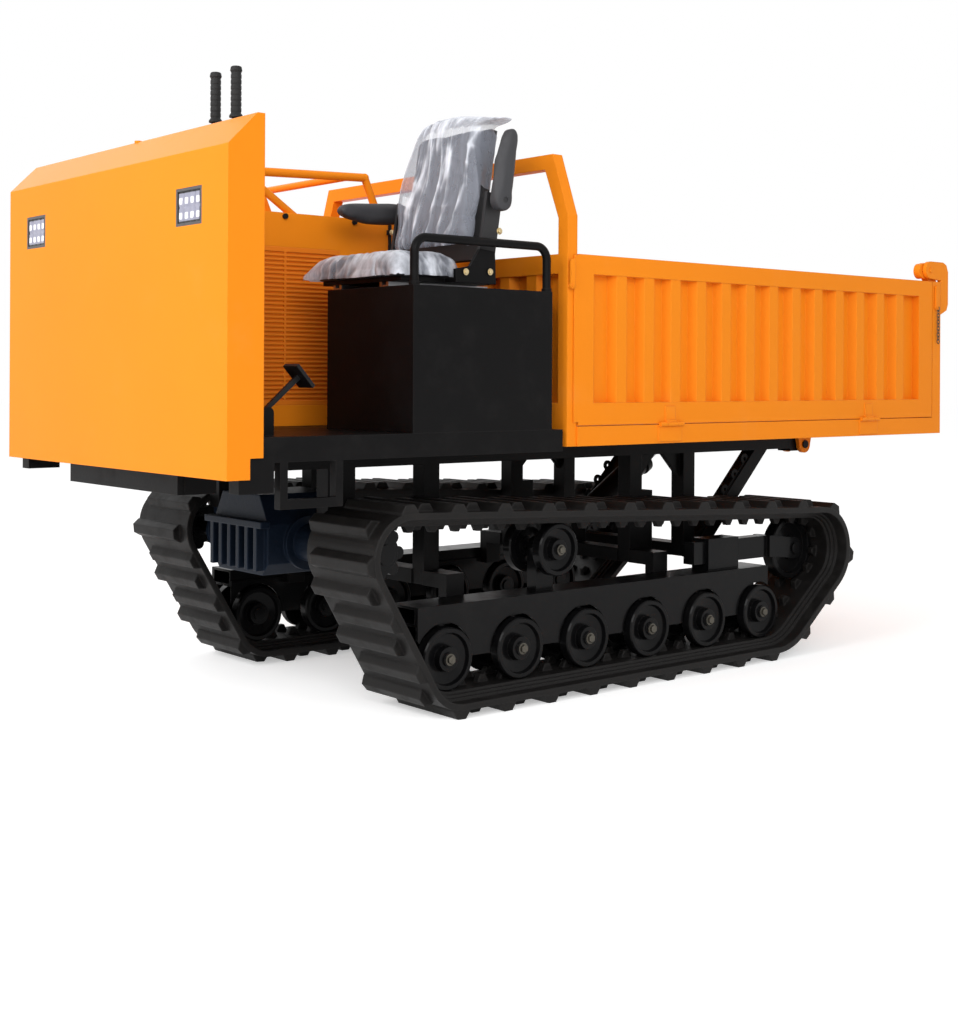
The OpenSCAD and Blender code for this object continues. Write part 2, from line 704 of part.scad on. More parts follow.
module front_shield() {
  t = sheet;
  top = shield_z + shield_h;
  color(orange) difference() {
    union() {
      both_sides() side_plate(half_w - t, half_w) shield_side();
      side_plate(-half_w + t - 1, half_w - t + 1)
        polygon([[front_y, shield_z], [front_y, top], [front_y + shield_bevel, top + shield_bevel],
          [front_y + shield_d, top + shield_bevel], [front_y + shield_d, top + shield_bevel - 16],
          [front_y + shield_d - t, top + shield_bevel - 16], [front_y + shield_d - t, top + shield_bevel - t],
          [front_y + shield_bevel + t * 0.414, top + shield_bevel - t], [front_y + t, top - t * 0.414],
          [front_y + t, shield_z + t], [front_y + 40, shield_z + t], [front_y + 40, shield_z]]);
      both_sides() block(plat_half - 30, plat_half, front_y + t - 1, front_y + 42, deck_z - 40, deck_z - 8);
      translate([14, front_y + shield_d - 14, top + shield_bevel - 1]) cylinder(r = 11, h = 7);
    }
    for (s = [-1, 1])
      lamp_block(s, 0, front_y - 1, front_y + t + 1);
  }
}

// A block as wide and high as a lamp, grown by `more` on each edge
module lamp_block(s, more, y0, y1) {
  block(s * lamp_x - lamp_w / 2 - more, s * lamp_x + lamp_w / 2 + more, y0, y1,
    lamp_z - lamp_h / 2 - more, lamp_z + lamp_h / 2 + more);
}

module lamp_frame(s) {
  difference() {
    union() {
      lamp_block(s, 0, front_y, front_y + 44);
      lamp_block(s, 8, front_y + sheet, front_y + 10);
    }
    lamp_block(s, -8, front_y - 1, front_y + 30);
  }
  for (i = [-1.5 : 1 : 1.5]) for (j = [-0.5, 0.5])
    rod_y(front_y + 10, front_y + 31, s * lamp_x + i * (lamp_w - 20) / 4, lamp_z + j * (lamp_h - 18) / 2, 12);
}

module lamp_housings() {
  color([0.25, 0.25, 0.26]) for (s = [-1, 1]) lamp_frame(s);
}

module lamp_lenses() {
  color(glass_white) for (s = [-1, 1]) lamp_block(s, -8, front_y + 2, front_y + 7);
}

// Hood, engine and the guard over them

module engine_hood() {
  t = sheet;
  color(orange) difference() {
    union() {
      difference() {
        block(hood_x0, hood_x1, hood_y0, hood_y1, deck_z, hood_z);
        block(hood_x0 + t, hood_x1 - t, hood_y0 + t, hood_y1 - t, deck_z - 1, hood_z - t);
      }
      for (y = [hood_y0 + 490, hood_y0 + 760])
        rod_x(hood_x1 - 1, hood_x1 + 9, y, hood_z - 12, 9);
      block(hood_x1 - 1, hood_x1 + 5, hood_y1 - 150, hood_y1 - 138, hood_z - 130, hood_z - 10);
      block(hood_x1 - 1, hood_x1 + 14, hood_y1 - 156, hood_y1 - 132, hood_z - 46, hood_z - 30);
    }
    block(hood_x1 - t - 1, hood_x1 + 1, grille_y0, grille_y1, grille_z0, grille_z1);
    block(hood_x0 - 1, hood_x0 + t + 1, grille_y0, grille_y1, grille_z0, grille_z1);
  }
}

// Slotted panels set in the hood's two side openings
module hood_grille() {
  rise = (grille_z1 - grille_z0 - 24) / grille_rows;
  span = grille_y1 - grille_y0;
  color(orange) for (x = [hood_x1 - sheet, hood_x0])
    side_plate(x, x + sheet) difference() {
      translate([grille_y0, grille_z0]) square([span, grille_z1 - grille_z0]);
      for (k = [0 : grille_rows - 1]) for (c = [0 : 2])
        translate([grille_y0 + 14 + c * (span - 20) / 3, grille_z0 + 12 + (k + 0.25) * rise])
          square([(span - 20) / 3 - 8, rise * 0.5]);
    }
}

module hood_guard() {
  y0 = hood_y0 + 160;
  y1 = hood_y1 - 233;
  x1 = hood_x1 - 20;
  x0 = hood_x0 + 20;
  color(orange) difference() {
    union() {
      for (x = [x0, x1]) {
        bar([x, y0, guard_z(y0)], [x, y1, guard_z(y1)], guard_r);
        bar([x, y1, guard_z(y1)], [x, y1 + 71, hood_z - 18], guard_r - 0.8);
        bar([x, hood_y0 + 340, guard_z(hood_y0 + 340)], [x, hood_y0 + 555, hood_z - 18], guard_r - 1.2);
        bar([x, y0, guard_z(y0)], [x, y0 - 56, hood_z - 18], guard_r - 0.8);
        for (y = [y0, y1]) translate([x, y, guard_z(y)]) sphere(r = guard_r + 0.6);
      }
      for (y = [y0 + 24, y1 - 67]) rod_x(x0, x1, y, guard_z(y), guard_r - 1.6);
    }
    block(hood_x0 - 50, hood_x1 + 50, hood_y0 - 50, hood_y1 + 50, hood_z - 80, hood_z);
  }
}

// The guard rises a little from its front end to its rear end
function guard_z(y) = hood_z + 116 + (y - hood_y0 - 160) * 0.04;

module engine() {
  x = fan_x;
  color([0.20, 0.22, 0.24]) difference() {
    union() {
      block(x - 150, x + 150, fan_y + 60, fan_y + 520, deck_z + 60, deck_z + 330);
      block(x - 110, x + 110, fan_y + 100, fan_y + 480, deck_z + 329, deck_z + 470);
      for (k = [0 : 3]) rod_y(fan_y + 130 + k * 95, fan_y + 180 + k * 95, x, deck_z + 480, 40);
      rod_y(fan_y + 519, fan_y + 600, x, deck_z + 190, 165);
      rod_y(fan_y + 20, fan_y + 61, x, fan_z, 60);
      rod_x(x + 100, x + 190, fan_y + 300, deck_z + 420, 36);
      for (sx = [-1, 1]) for (y = [fan_y + 110, fan_y + 430])
        block(x + sx * 130 - 40, x + sx * 130 + 40, y, y + 60, deck_z, deck_z + 62);
    }
    rod_y(fan_y, fan_y + 70, x, fan_z, 14 + fit);
  }
}

module cooling_fan() {
  color(steel) {
    rod_y(fan_y - 30, fan_y + 18, fan_x, fan_z, 44);
    rod_y(fan_y + 17, fan_y + 68, fan_x, fan_z, 14);
    for (k = [0 : 5])
      translate([fan_x, fan_y - 6, fan_z]) rotate([0, k * 60, 0]) rotate([0, 0, 32])
        translate([-34, -3, 30]) cube([68, 6, fan_r - 30]);
  }
}

// Cargo box

module cargo_bed() {
  color(orange) difference() {
    union() {
      both_sides() {
        block(half_w - 40, half_w, post_y1, bed_rear, bed_z, floor_z);
        block(rail_x0, rail_x1, post_y1, pivot_y + 70, bed_z, floor_z - 1);
        bed_pivot_lugs();
        clevis_cheek();
        rear_post();
        for (y = hinge_ys) bed_hinge(y);
      }
      block(-half_w + 39, half_w - 39, post_y1, post_y1 + 40, bed_z, floor_z);
      block(-half_w + 39, half_w - 39, bed_rear - 40, bed_rear, bed_z, floor_z);
      block(-half_w + 39, half_w - 39, post_y1, bed_rear, floor_z - 8, floor_z);
      for (k = [1 : 6])
        block(-half_w + 39, half_w - 39, post_y1 + k * bed_l / 7 - 20, post_y1 + k * bed_l / 7 + 20,
          bed_z + 8, floor_z - 1);
    }
    both_sides() rod_x(rail_x0 - 40, rail_x1 + 40, pivot_y, pivot_z, pivot_r + fit);
  }
}

module bed_pivot_lugs() {
  for (x = [rail_x0 - 18, rail_x1 + 2])
    side_plate(x, x + 16) union() {
      translate([pivot_y, pivot_z]) circle(r = 34);
      polygon([[pivot_y - 34, pivot_z], [pivot_y + 34, pivot_z], [pivot_y + 60, floor_z - 2],
        [pivot_y - 60, floor_z - 2]]);
    }
}

// Slotted cheeks for the pin of the tipping cylinder's rod
module clevis_cheek() {
  side_plate(36, 48) difference() {
    translate([eye_y - 90, eye_z - 44]) square([190, floor_z - 2 - eye_z + 44]);
    translate([eye_y - 40, eye_z - 20]) square([88, 40]);
    translate([eye_y - 40, eye_z]) circle(r = 20);
    translate([eye_y + 48, eye_z]) circle(r = 20);
  }
}

module rear_post() {
  block(post_x0, half_w, gate_y1 + 4, bed_rear, floor_z - 1, bed_top);
  side_plate(post_x0 + 4, half_w - 18) union() {
    translate([ear_y, ear_z]) circle(r = 30);
    translate([ear_y - 22, ear_z - 4]) circle(r = 30);
    translate([ear_y - 22, ear_z - 4]) square([22, 30]);
    polygon([[gate_y1 + 4, bed_top - 1], [bed_rear, bed_top - 1], [ear_y + 30, ear_z], [ear_y - 20, ear_z]]);
  }
  rod_x(half_w - 19, half_w + 3, ear_y, ear_z, ear_pin_r);
  rod_x(half_w - 1, half_w + 12, bed_rear - 36, latch_z, latch_pin_r);
}

module bed_hinge(y) {
  block(half_w - 1, half_w + 4, y - 55, y + 55, bed_z + 6, floor_z - 6);
  for (a = [y - 55, y + 25]) {
    rod_y(a, a + 30, hinge_x, hinge_z, knuckle_r);
    block(half_w - 1, hinge_x, a, a + 30, hinge_z - knuckle_r, hinge_z - 2);
  }
  rod_y(y - 40, y + 40, hinge_x, hinge_z, hinge_pin_r);
}

module headboard() {
  top = bed_top + guard_h;
  bend = bed_top + 118;
  x0 = post_x0;
  x1 = half_w - 6;
  color(orange) {
    cross_plate(bed_front, post_y1)
      polygon([[x1, bed_z], [x1, bend], [x1 - 72, top], [72 - x1, top], [-x1, bend], [-x1, bed_z],
        [-x0, bed_z], [-x0, bend - 6], [64 - x0, top - 46], [x0 - 64, top - 46], [x0, bend - 6],
        [x0, bed_z]]);
    block(-x0 - 1, x0 + 1, bed_front, post_y1, bed_z, panel_z0);
    block(-x0 - 1, x0 + 1, bed_front, post_y1, panel_z1, bed_top);
    translate([0, bed_front + 4, panel_z0 - 1]) linear_extrude(panel_z1 - panel_z0 + 2)
      mirror([0, 1]) ridged(-x0 - 1, x0 + 1, end_ridges, ridge_d);
    both_sides() rod_x(x1 - 1, half_w + 12, bed_front + 9, latch_z, latch_pin_r);
  }
}

module drop_side_left() {
  color(orange) {
    difference() {
      union() {
        block(gate_x0, gate_x1, gate_y0, gate_y1, gate_z0, panel_z0);
        block(gate_x0, gate_x1, gate_y0, gate_y1, panel_z1, bed_top);
        block(gate_x0, gate_x1, gate_y0, gate_y0 + 65, panel_z0 - 1, panel_z1 + 1);
        block(gate_x0, gate_x1, gate_y1 - 89, gate_y1, panel_z0 - 1, panel_z1 + 1);
        block(gate_x1 - 4, gate_x1, gate_y0 - 20, gate_y0 + 1, gate_z0 + 10, bed_top - 4);
        translate([gate_x1 - 2, 0, panel_z0 - 1]) linear_extrude(panel_z1 - panel_z0 + 2)
          rotate(90) mirror([0, 1]) ridged(gate_y0 + 64, gate_y1 - 88, side_ridges, ridge_d);
        for (y = hinge_ys) {
          block(gate_x1 - 1, gate_x1 + 4, y - 23, y + 23, gate_z0 + 6, gate_z0 + 57);
          rod_y(y - 23, y + 23, hinge_x, hinge_z, knuckle_r);
          block(gate_x1 + 0.5, hinge_x, y - 23, y + 23, hinge_z + 3, gate_z0 + 12);
        }
      }
      for (y = hinge_ys) {
        rod_y(y - 24, y + 24, hinge_x, hinge_z, hinge_pin_r + fit);
        for (a = [y - 55 - slide_gap, y + 25 - slide_gap])
          rod_y(a, a + 30 + 2 * slide_gap, hinge_x, hinge_z, knuckle_r + slide_gap);
      }
    }
  }
}

module tailgate() {
  x = tail_half;
  color(orange) {
    block(-x, x, tail_y0, tail_y1, bed_z + 6, panel_z0);
    block(-x, x, tail_y0, tail_y1, panel_z1, bed_top);
    for (x0 = [-x, x - 60]) block(x0, x0 + 60, tail_y0, tail_y1, panel_z0 - 1, panel_z1 + 1);
    translate([0, tail_y1 - 4, panel_z0 - 1]) linear_extrude(panel_z1 - panel_z0 + 2)
      ridged(-x + 59, x - 59, end_ridges, ridge_d);
    both_sides() {
      block(x - 1, half_w - 15, tail_y0, tail_y1, bed_top - 120, bed_top);
      tail_ear();
    }
  }
}

module tail_ear() {
  side_plate(half_w - 16, half_w) difference() {
    union() {
      translate([ear_y, ear_z]) circle(r = 34);
      polygon([[ear_y, ear_z + 34], [rear_y - 36, ear_z + 34], [rear_y - 12, ear_z + 24], [rear_y, ear_z - 4],
        [rear_y, ear_z - 132], [rear_y - 10, ear_z - 156], [tail_y0, ear_z - 174], [tail_y0, ear_z - 38],
        [ear_y, ear_z - 34]]);
    }
    translate([ear_y, ear_z]) circle(r = ear_pin_r + fit);
  }
}

// Turning bar that locks a dropped side, upright when it is free
module latch(y) {
  color(orange) side_plate(half_w + 2, half_w + 10) difference() {
    union() {
      translate([y, latch_z]) circle(r = 11);
      translate([y - 9, latch_z]) square([18, 74]);
      translate([y, latch_z + 74]) circle(r = 9);
    }
    translate([y, latch_z]) circle(r = latch_pin_r + fit);
  }
}

module cylinder_barrel() {
  color(frame_black) translate([0, cyl_y, cyl_z]) rotate([cyl_lean - 90, 0, 0]) difference() {
    union() {
      rod_x(-32, 32, 0, 0, 34);
      cylinder(r = 28, h = 66);
      translate([0, 0, 58]) cylinder(r = 45, h = barrel_l - 58);
      translate([0, 0, barrel_l - 26]) cylinder(r = 52, h = 26);
      translate([0, 0, 58]) cylinder(r = 50, h = 16);
    }
    rod_x(-33, 33, 0, 0, 14 + fit);
    translate([0, 0, 72]) cylinder(r = piston_r, h = barrel_l - 98);
    translate([0, 0, barrel_l - 30]) cylinder(r = 25 + fit, h = 31);
  }
}

module cylinder_rod() {
  color(steel) translate([0, cyl_y, cyl_z]) rotate([cyl_lean - 90, 0, 0]) union() {
    translate([0, 0, 78]) cylinder(r = piston_r - fit, h = 30);
    translate([0, 0, 107]) cylinder(r = 25, h = cyl_l - 127);
    rod_x(-30, 30, 0, cyl_l, 30);
    rod_x(-54, 54, 0, cyl_l, 14);
  }
}

// Seat

module seat_box() {
  t = sheet;
  color(frame_black) difference() {
    block(box_x0, box_x1, box_y0, box_y1, deck_z, box_z);
    block(box_x0 + t, box_x1 - t, box_y0 + t, box_y1 - t, deck_z - 1, box_z - t);
  }
}

module seat_handrail() {
  x = box_x1 - 16;
  y0 = box_y0 + 14;
  y1 = box_y1 - 10;
  z = box_z + 138;
  bend = 42;
  color(frame_black) {
    translate([x, y0, box_z]) cylinder(r = rail_r, h = z - bend - box_z);
    translate([x, y1, box_z]) cylinder(r = rail_r, h = z - bend - box_z);
    rod_y(y0 + bend, y1 - bend, x, z, rail_r);
    translate([x, y0 + bend, z - bend]) rotate([90, 0, 90]) rotate([0, 0, 90]) rotate_extrude(angle = 90)
      translate([bend, 0]) circle(r = rail_r);
    translate([x, y1 - bend, z - bend]) rotate([90, 0, 90]) rotate_extrude(angle = 90)
      translate([bend, 0]) circle(r = rail_r);
    for (y = [y0, y1]) translate([x, y, box_z]) cylinder(r = rail_r + 3, h = 10);
  }
}

module seat_rails() {
  color(steel) for (s = [-1, 1]) difference() {
    block(seat_x + s * 120 - 22, seat_x + s * 120 + 22, box_y0 + 20, box_y0 + 400, box_z, pan_z - 0.5);
    block(seat_x + s * 120 - 10, seat_x + s * 120 + 10, box_y0 + 19, box_y0 + 401, box_z + 6, pan_z);
  }
}

module seat_pan() {
  color(frame_black) {
    block(seat_x - 200, seat_x + 200, seat_front + 40, seat_rear + 30, pan_z, pan_top);
    block(seat_x - 252, seat_x + 252, recline_y - 115, recline_y + 40, pan_z, pan_top);
    for (s = [-1, 1]) {
      block(seat_x + s * 120 - 9, seat_x + s * 120 + 9, box_y0 + 90, box_y0 + 330, box_z + 7, pan_z + 1);
      side_plate(seat_x + s * 246 - 6, seat_x + s * 246 + 6)
        polygon([[recline_y - 115, pan_z], [recline_y + 40, pan_z], [recline_y + 36, recline_z + 44],
          [recline_y - 22, recline_z + 50], [recline_y - 60, pan_top + 36], [recline_y - 115, pan_top + 26]]);
      rod_x(seat_x + s * 232 - 18, seat_x + s * 232 + 18, recline_y, recline_z, 10);
      for (q = [[-80, -22], [14, -18]])
        rod_x(seat_x + s * 252 - 4, seat_x + s * 252 + 4, recline_y + q[0], recline_z + q[1], 9);
    }
  }
}

module seat_cushion() {
  x = seat_w / 2 - 40;
  y0 = seat_front + 22;
  y1 = recline_y - 62;
  color(seat_black) difference() {
    hull() {
      for (sx = [-1, 1]) {
        translate([seat_x + sx * (x + 6), y0, pan_top + 26]) sphere(r = 26, $fn = 24);
        translate([seat_x + sx * (x - 40), y0 + 40, pan_top + cushion_t - 24]) sphere(r = 24, $fn = 24);
        translate([seat_x + sx * (x + 6), y1 - 14, pan_top + 26]) sphere(r = 26, $fn = 24);
        translate([seat_x + sx * (x - 40), y1 - 50, pan_top + cushion_t - 22]) sphere(r = 22, $fn = 24);
      }
    }
    block(seat_x - seat_w, seat_x + seat_w, seat_front - 60, seat_rear + 60, pan_top - 60, pan_top);
    for (sx = [-1, 1])
      rod_y(seat_front - 40, seat_rear + 40, seat_x + sx * (x - 96), pan_top + cushion_t + 3, 8);
  }
}

module lean_back() {
  translate([seat_x, recline_y, recline_z]) rotate([-back_lean, 0, 0]) children();
}

module seat_back() {
  color(seat_black) lean_back() {
    difference() {
      union() {
        block(-back_w / 2 + 14, back_w / 2 - 14, 26, 50, 30, back_h);
        for (s = [-1, 1]) {
          side_plate(s * 222 - 6, s * 222 + 6) union() {
            circle(r = 28);
            polygon([[-28, 0], [28, 0], [50, 60], [50, 220], [-10, 230], [-10, 60]]);
          }
          block(s * 222 - (s > 0 ? 76 : 6), s * 222 + (s > 0 ? 6 : 76), 26, 50, 30, 220);
          rod_x(s * 222 - (s > 0 ? 0 : 64), s * 222 + (s > 0 ? 64 : 0), arm_y, arm_z, arm_pin_r);
        }
      }
      rod_x(-260, 260, 0, 0, 10 + fit);
    }
  }
}

module back_cushion() {
  w = back_w / 2 - 34;
  color(seat_black) lean_back() difference() {
    hull() for (sx = [-1, 1]) {
      translate([sx * (w - 10), -4, 96]) sphere(r = 34, $fn = 24);
      translate([sx * (w - 60), -30, 140]) sphere(r = 28, $fn = 24);
      translate([sx * (w - 26), 0, back_h - 6]) sphere(r = 30, $fn = 24);
      translate([sx * (w - 80), -22, back_h - 60]) sphere(r = 28, $fn = 24);
    }
    block(-400, 400, 26, 200, -200, 800);
    for (sx = [-1, 1]) translate([sx * (w - 66), -60, 0]) cylinder(r = 9, h = 600);
  }
}

// Armrest with its pin's bore at the origin, the pad running forward
module armrest_pad() {
  difference() {
    side_plate(-24, 24) union() {
      circle(r = 34);
      polygon([[0, -34], [0, 34], [-arm_l + 34, 34], [-arm_l + 10, 27], [-arm_l, 10], [-arm_l + 4, -8],
        [-arm_l + 40, -24]]);
    }
    rod_x(-25, 25, 0, 0, arm_pin_r + fit);
  }
}

module armrest_left() {
  color(seat_black) lean_back() translate([arm_x, arm_y, arm_z]) rotate([-88, 0, 0]) armrest_pad();
}

module armrest_right() {
  color(seat_black) lean_back() translate([-arm_x, arm_y, arm_z]) rotate([back_lean + 4, 0, 0]) armrest_pad();
}

chassis_frame();
operator_platform();
front_shield();
lamp_housings();
lamp_lenses();
lever(lever_xs[1]);  // lever_left
lever(lever_xs[0]);  // lever_right
grip(lever_xs[1]);  // grip_left
grip(lever_xs[0]);  // grip_right
brake_pedal();
engine_hood();
hood_grille();
hood_guard();
engine();
cooling_fan();
gearbox();
track_frame_left();
mirror([1, 0, 0]) track_frame_left();  // track_frame_right
rubber_track_left();
mirror([1, 0, 0]) rubber_track_left();  // rubber_track_right
sprocket_left();
mirror([1, 0, 0]) sprocket_left();  // sprocket_right
idler_left();
mirror([1, 0, 0]) idler_left();  // idler_right
tension_yoke_left();
mirror([1, 0, 0]) tension_yoke_left();  // tension_yoke_right
road_wheel_left(1);  // road_wheel_left_1
road_wheel_left(2);  // road_wheel_left_2
road_wheel_left(3);  // road_wheel_left_3
road_wheel_left(4);  // road_wheel_left_4
road_wheel_left(5);  // road_wheel_left_5
road_wheel_left(6);  // road_wheel_left_6
mirror([1, 0, 0]) road_wheel_left(1);  // road_wheel_right_1
mirror([1, 0, 0]) road_wheel_left(2);  // road_wheel_right_2
mirror([1, 0, 0]) road_wheel_left(3);  // road_wheel_right_3
mirror([1, 0, 0]) road_wheel_left(4);  // road_wheel_right_4
mirror([1, 0, 0]) road_wheel_left(5);  // road_wheel_right_5
mirror([1, 0, 0]) road_wheel_left(6);  // road_wheel_right_6
carrier_roller_left();
mirror([1, 0, 0]) carrier_roller_left();  // carrier_roller_right
cargo_bed();
headboard();
drop_side_left();
mirror([1, 0, 0]) drop_side_left();  // drop_side_right
tailgate();
latch(bed_front + 9);  // latch_left_front
latch(bed_rear - 36);  // latch_left_rear
mirror([1, 0, 0]) latch(bed_front + 9);  // latch_right_front
mirror([1, 0, 0]) latch(bed_rear - 36);  // latch_right_rear
cylinder_barrel();
cylinder_rod();
seat_box();
seat_handrail();
seat_rails();
seat_pan();
seat_cushion();
seat_back();
back_cushion();
armrest_left();
armrest_right();
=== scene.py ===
# %% [markdown]
# # A tracked power carrier
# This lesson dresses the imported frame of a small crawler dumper: it sets up the camera and a studio,
# mixes one finish for each material of the machine, and then models the pieces that the frame
# leaves plain, such as the padded seat under its clear film.

# %% Load the frame
import math

import bmesh
import bpy
from mathutils import Matrix, Vector, noise


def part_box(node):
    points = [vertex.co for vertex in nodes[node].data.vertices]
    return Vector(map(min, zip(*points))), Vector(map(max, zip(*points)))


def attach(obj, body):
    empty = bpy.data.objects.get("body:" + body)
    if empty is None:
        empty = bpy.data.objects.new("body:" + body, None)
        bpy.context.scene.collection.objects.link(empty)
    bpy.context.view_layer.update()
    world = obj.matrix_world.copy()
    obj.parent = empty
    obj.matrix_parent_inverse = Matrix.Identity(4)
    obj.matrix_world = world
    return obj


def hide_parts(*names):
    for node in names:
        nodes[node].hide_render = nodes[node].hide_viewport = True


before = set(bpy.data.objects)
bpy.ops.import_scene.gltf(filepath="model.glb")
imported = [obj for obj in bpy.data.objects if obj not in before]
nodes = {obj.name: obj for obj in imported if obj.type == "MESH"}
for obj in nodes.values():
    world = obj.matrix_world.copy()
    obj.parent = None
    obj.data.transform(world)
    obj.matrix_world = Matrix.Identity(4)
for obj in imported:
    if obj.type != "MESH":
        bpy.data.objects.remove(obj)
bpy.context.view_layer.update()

# %% [markdown]
# ## Camera
# The photograph was taken from the machine's front left corner, level, from about a metre above the
# ground. A level camera keeps upright edges parallel, so the lens is shifted instead of tilted: the
# horizon lies above the middle of the picture.

# %% Camera
PHOTO_W, PHOTO_H = 958, 1018
FOCAL_PX = 1479.0
HORIZON_PX = 375.0
CAMERA_PLACE = (4.0297, -3.5956, 1.005)
CAMERA_TURN = (90.0, -0.3, 50.0)
camera_data = bpy.data.cameras.new("studio_camera")
camera_data.sensor_width = 36.0
camera_data.lens = FOCAL_PX * camera_data.sensor_width / max(PHOTO_W, PHOTO_H)
camera_data.shift_y = (HORIZON_PX - PHOTO_H / 2) / max(PHOTO_W, PHOTO_H)
camera_data.clip_end = 100.0
camera = bpy.data.objects.new("studio_camera", camera_data)
camera.location = CAMERA_PLACE
camera.rotation_euler = [math.radians(angle) for angle in CAMERA_TURN]
bpy.context.scene.collection.objects.link(camera)
bpy.context.scene.camera = camera
bpy.context.scene.view_settings.view_transform = "Standard"
print("lens", round(camera_data.lens, 2), "mm, shift", round(camera_data.shift_y, 4))

# %% [markdown]
# ## Shader helper
# A finish is easier to read as a formula than as a web of boxes. A Wire stands for one socket and
# answers to Python's signs, and a Finish holds one material and adds any node that it needs.


# %% Shader helper
class Wire:
    """One shader socket that can be used in Python sums."""

    def __init__(self, finish, socket):
        self.finish, self.socket = finish, socket

    def maths(self, operation, other, swap=False):
        first, second = (other, self) if swap else (self, other)
        return self.finish.add("ShaderNodeMath", {"operation": operation}, {0: first, 1: second})[0]

    def __add__(self, other):
        return self.maths("ADD", other)

    def __sub__(self, other):
        return self.maths("SUBTRACT", other)

    def __rsub__(self, other):
        return self.maths("SUBTRACT", other, swap=True)

    def __mul__(self, other):
        return self.maths("MULTIPLY", other)

    def __gt__(self, other):
        return self.maths("GREATER_THAN", other)

    def __lt__(self, other):
        return self.maths("LESS_THAN", other)

    def __abs__(self):
        return self.maths("ABSOLUTE", 0.0)

    __radd__ = __add__
    __rmul__ = __mul__


class Finish:
    """One material, with its surface shader ready to be fed."""

    def __init__(self, name):
        self.material = bpy.data.materials.new(name)
        self.material.use_nodes = True
        self.tree = self.material.node_tree
        self.tree.nodes.clear()
        self.output = self.tree.nodes.new("ShaderNodeOutputMaterial")
        self.shader = self.tree.nodes.new("ShaderNodeBsdfPrincipled")
        self.tree.links.new(self.shader.outputs[0], self.output.inputs["Surface"])
        self.place = self.add("ShaderNodeTexCoord")[3]
        self.x, self.y, self.z = self.add("ShaderNodeSeparateXYZ", None, {0: self.place})

    def feed(self, socket, value):
        if isinstance(value, Wire):
            self.tree.links.new(value.socket, socket)
        else:
            socket.default_value = value

    def add(self, kind, settings=None, inputs=None):
        """A new node with its settings and inputs; its outputs come back as wires."""
        node = self.tree.nodes.new(kind)
        for key, value in (settings or {}).items():
            setattr(node, key, value)
        for key, value in (inputs or {}).items():
            self.feed(node.inputs[key], value)
        return [Wire(self, s) for s in node.outputs]

    def noise(self, scale, detail=2.0, rough=0.5, stretch=(1, 1, 1)):
        where = self.add("ShaderNodeMapping", None, {"Vector": self.place, "Scale": stretch})[0]
        return self.add("ShaderNodeTexNoise", None,
                        {"Vector": where, "Scale": scale, "Detail": detail, "Roughness": rough})[0]

    def blend(self, factor, first, second):
        """A colour between two colours."""
        node = self.tree.nodes.new("ShaderNodeMix")
        node.data_type = "RGBA"
        self.feed(node.inputs[0], factor)
        for socket, value in ((node.inputs[6], first), (node.inputs[7], second)):
            self.feed(socket, value if isinstance(value, Wire) else (*value, 1.0))
        return Wire(self, node.outputs[2])

    def step(self, value, low, high):
        """0 below low, 1 above high, smooth between."""
        return self.add("ShaderNodeMapRange", {"interpolation_type": "SMOOTHSTEP"},
                        {"Value": value, "From Min": low, "From Max": high})[0]

    def surface(self, **values):
        for key, value in values.items():
            socket = self.shader.inputs[key.replace("_", " ").title().replace("Ior", "IOR")]
            if not isinstance(value, Wire) and socket.type == "RGBA":
                value = (*value, 1.0)
            self.feed(socket, value)

    def rounded(self, radius):
        """Normals that roll over the sharp edges, and a mask that is 1 along them."""
        roll = self.add("ShaderNodeBevel", {"samples": 4}, {"Radius": radius})[0]
        flat = self.add("ShaderNodeNewGeometry")[1]
        along = self.add("ShaderNodeVectorMath", {"operation": "DOT_PRODUCT"}, {0: roll, 1: flat})[1]
        return roll, self.step(1 - along, 0.005, 0.12)

    def bump(self, height, distance, strength=1.0, normal=None):
        sockets = {"Height": height, "Distance": distance, "Strength": strength}
        if normal:
            sockets["Normal"] = normal
        self.feed(self.shader.inputs["Normal"], self.add("ShaderNodeBump", None, sockets)[0])


def dress(names, finish):
    for name in names:
        nodes[name].data.materials.clear()
        nodes[name].data.materials.append(finish.material)


print("shader helper ready")

# %% [markdown]
# ## Studio
# A plain white floor carries the machine and its soft shadow. The world is white to the camera and
# to reflections, and lights everything evenly; three large lamps give the light a direction.

# %% Studio
FLOOR_SIZE, FLOOR_DROP = 90.0, 0.0005
FLOOR_GLOW, FLOOR_WHITE = 0.42, 0.9
CAMERA_RAY, GLOSSY_RAY, TRANSMISSION_RAY = 0, 3, 6
bpy.ops.object.select_all(action="DESELECT")
bpy.ops.mesh.primitive_plane_add(size=FLOOR_SIZE, location=(0, 0, -FLOOR_DROP))
floor = bpy.context.object
floor.name = "studio_floor"
bpy.ops.object.transform_apply(location=True, rotation=True, scale=True)
floor_finish = Finish("studio_floor")
light_path = floor_finish.add("ShaderNodeLightPath")
shown = light_path[CAMERA_RAY] + light_path[GLOSSY_RAY] + light_path[TRANSMISSION_RAY]
glow = floor_finish.add("ShaderNodeEmission", None,
                        {"Color": (1, 1, 1, 1), "Strength": shown * FLOOR_GLOW})[0]
matte = floor_finish.add("ShaderNodeBsdfDiffuse", None, {"Color": (FLOOR_WHITE,) * 3 + (1,)})[0]
both = floor_finish.add("ShaderNodeAddShader", None, {0: glow, 1: matte})[0]
floor_finish.feed(floor_finish.output.inputs["Surface"], both)
floor_finish.tree.nodes.remove(floor_finish.shader)
floor.data.materials.append(floor_finish.material)
print("floor:", FLOOR_SIZE, "m wide")

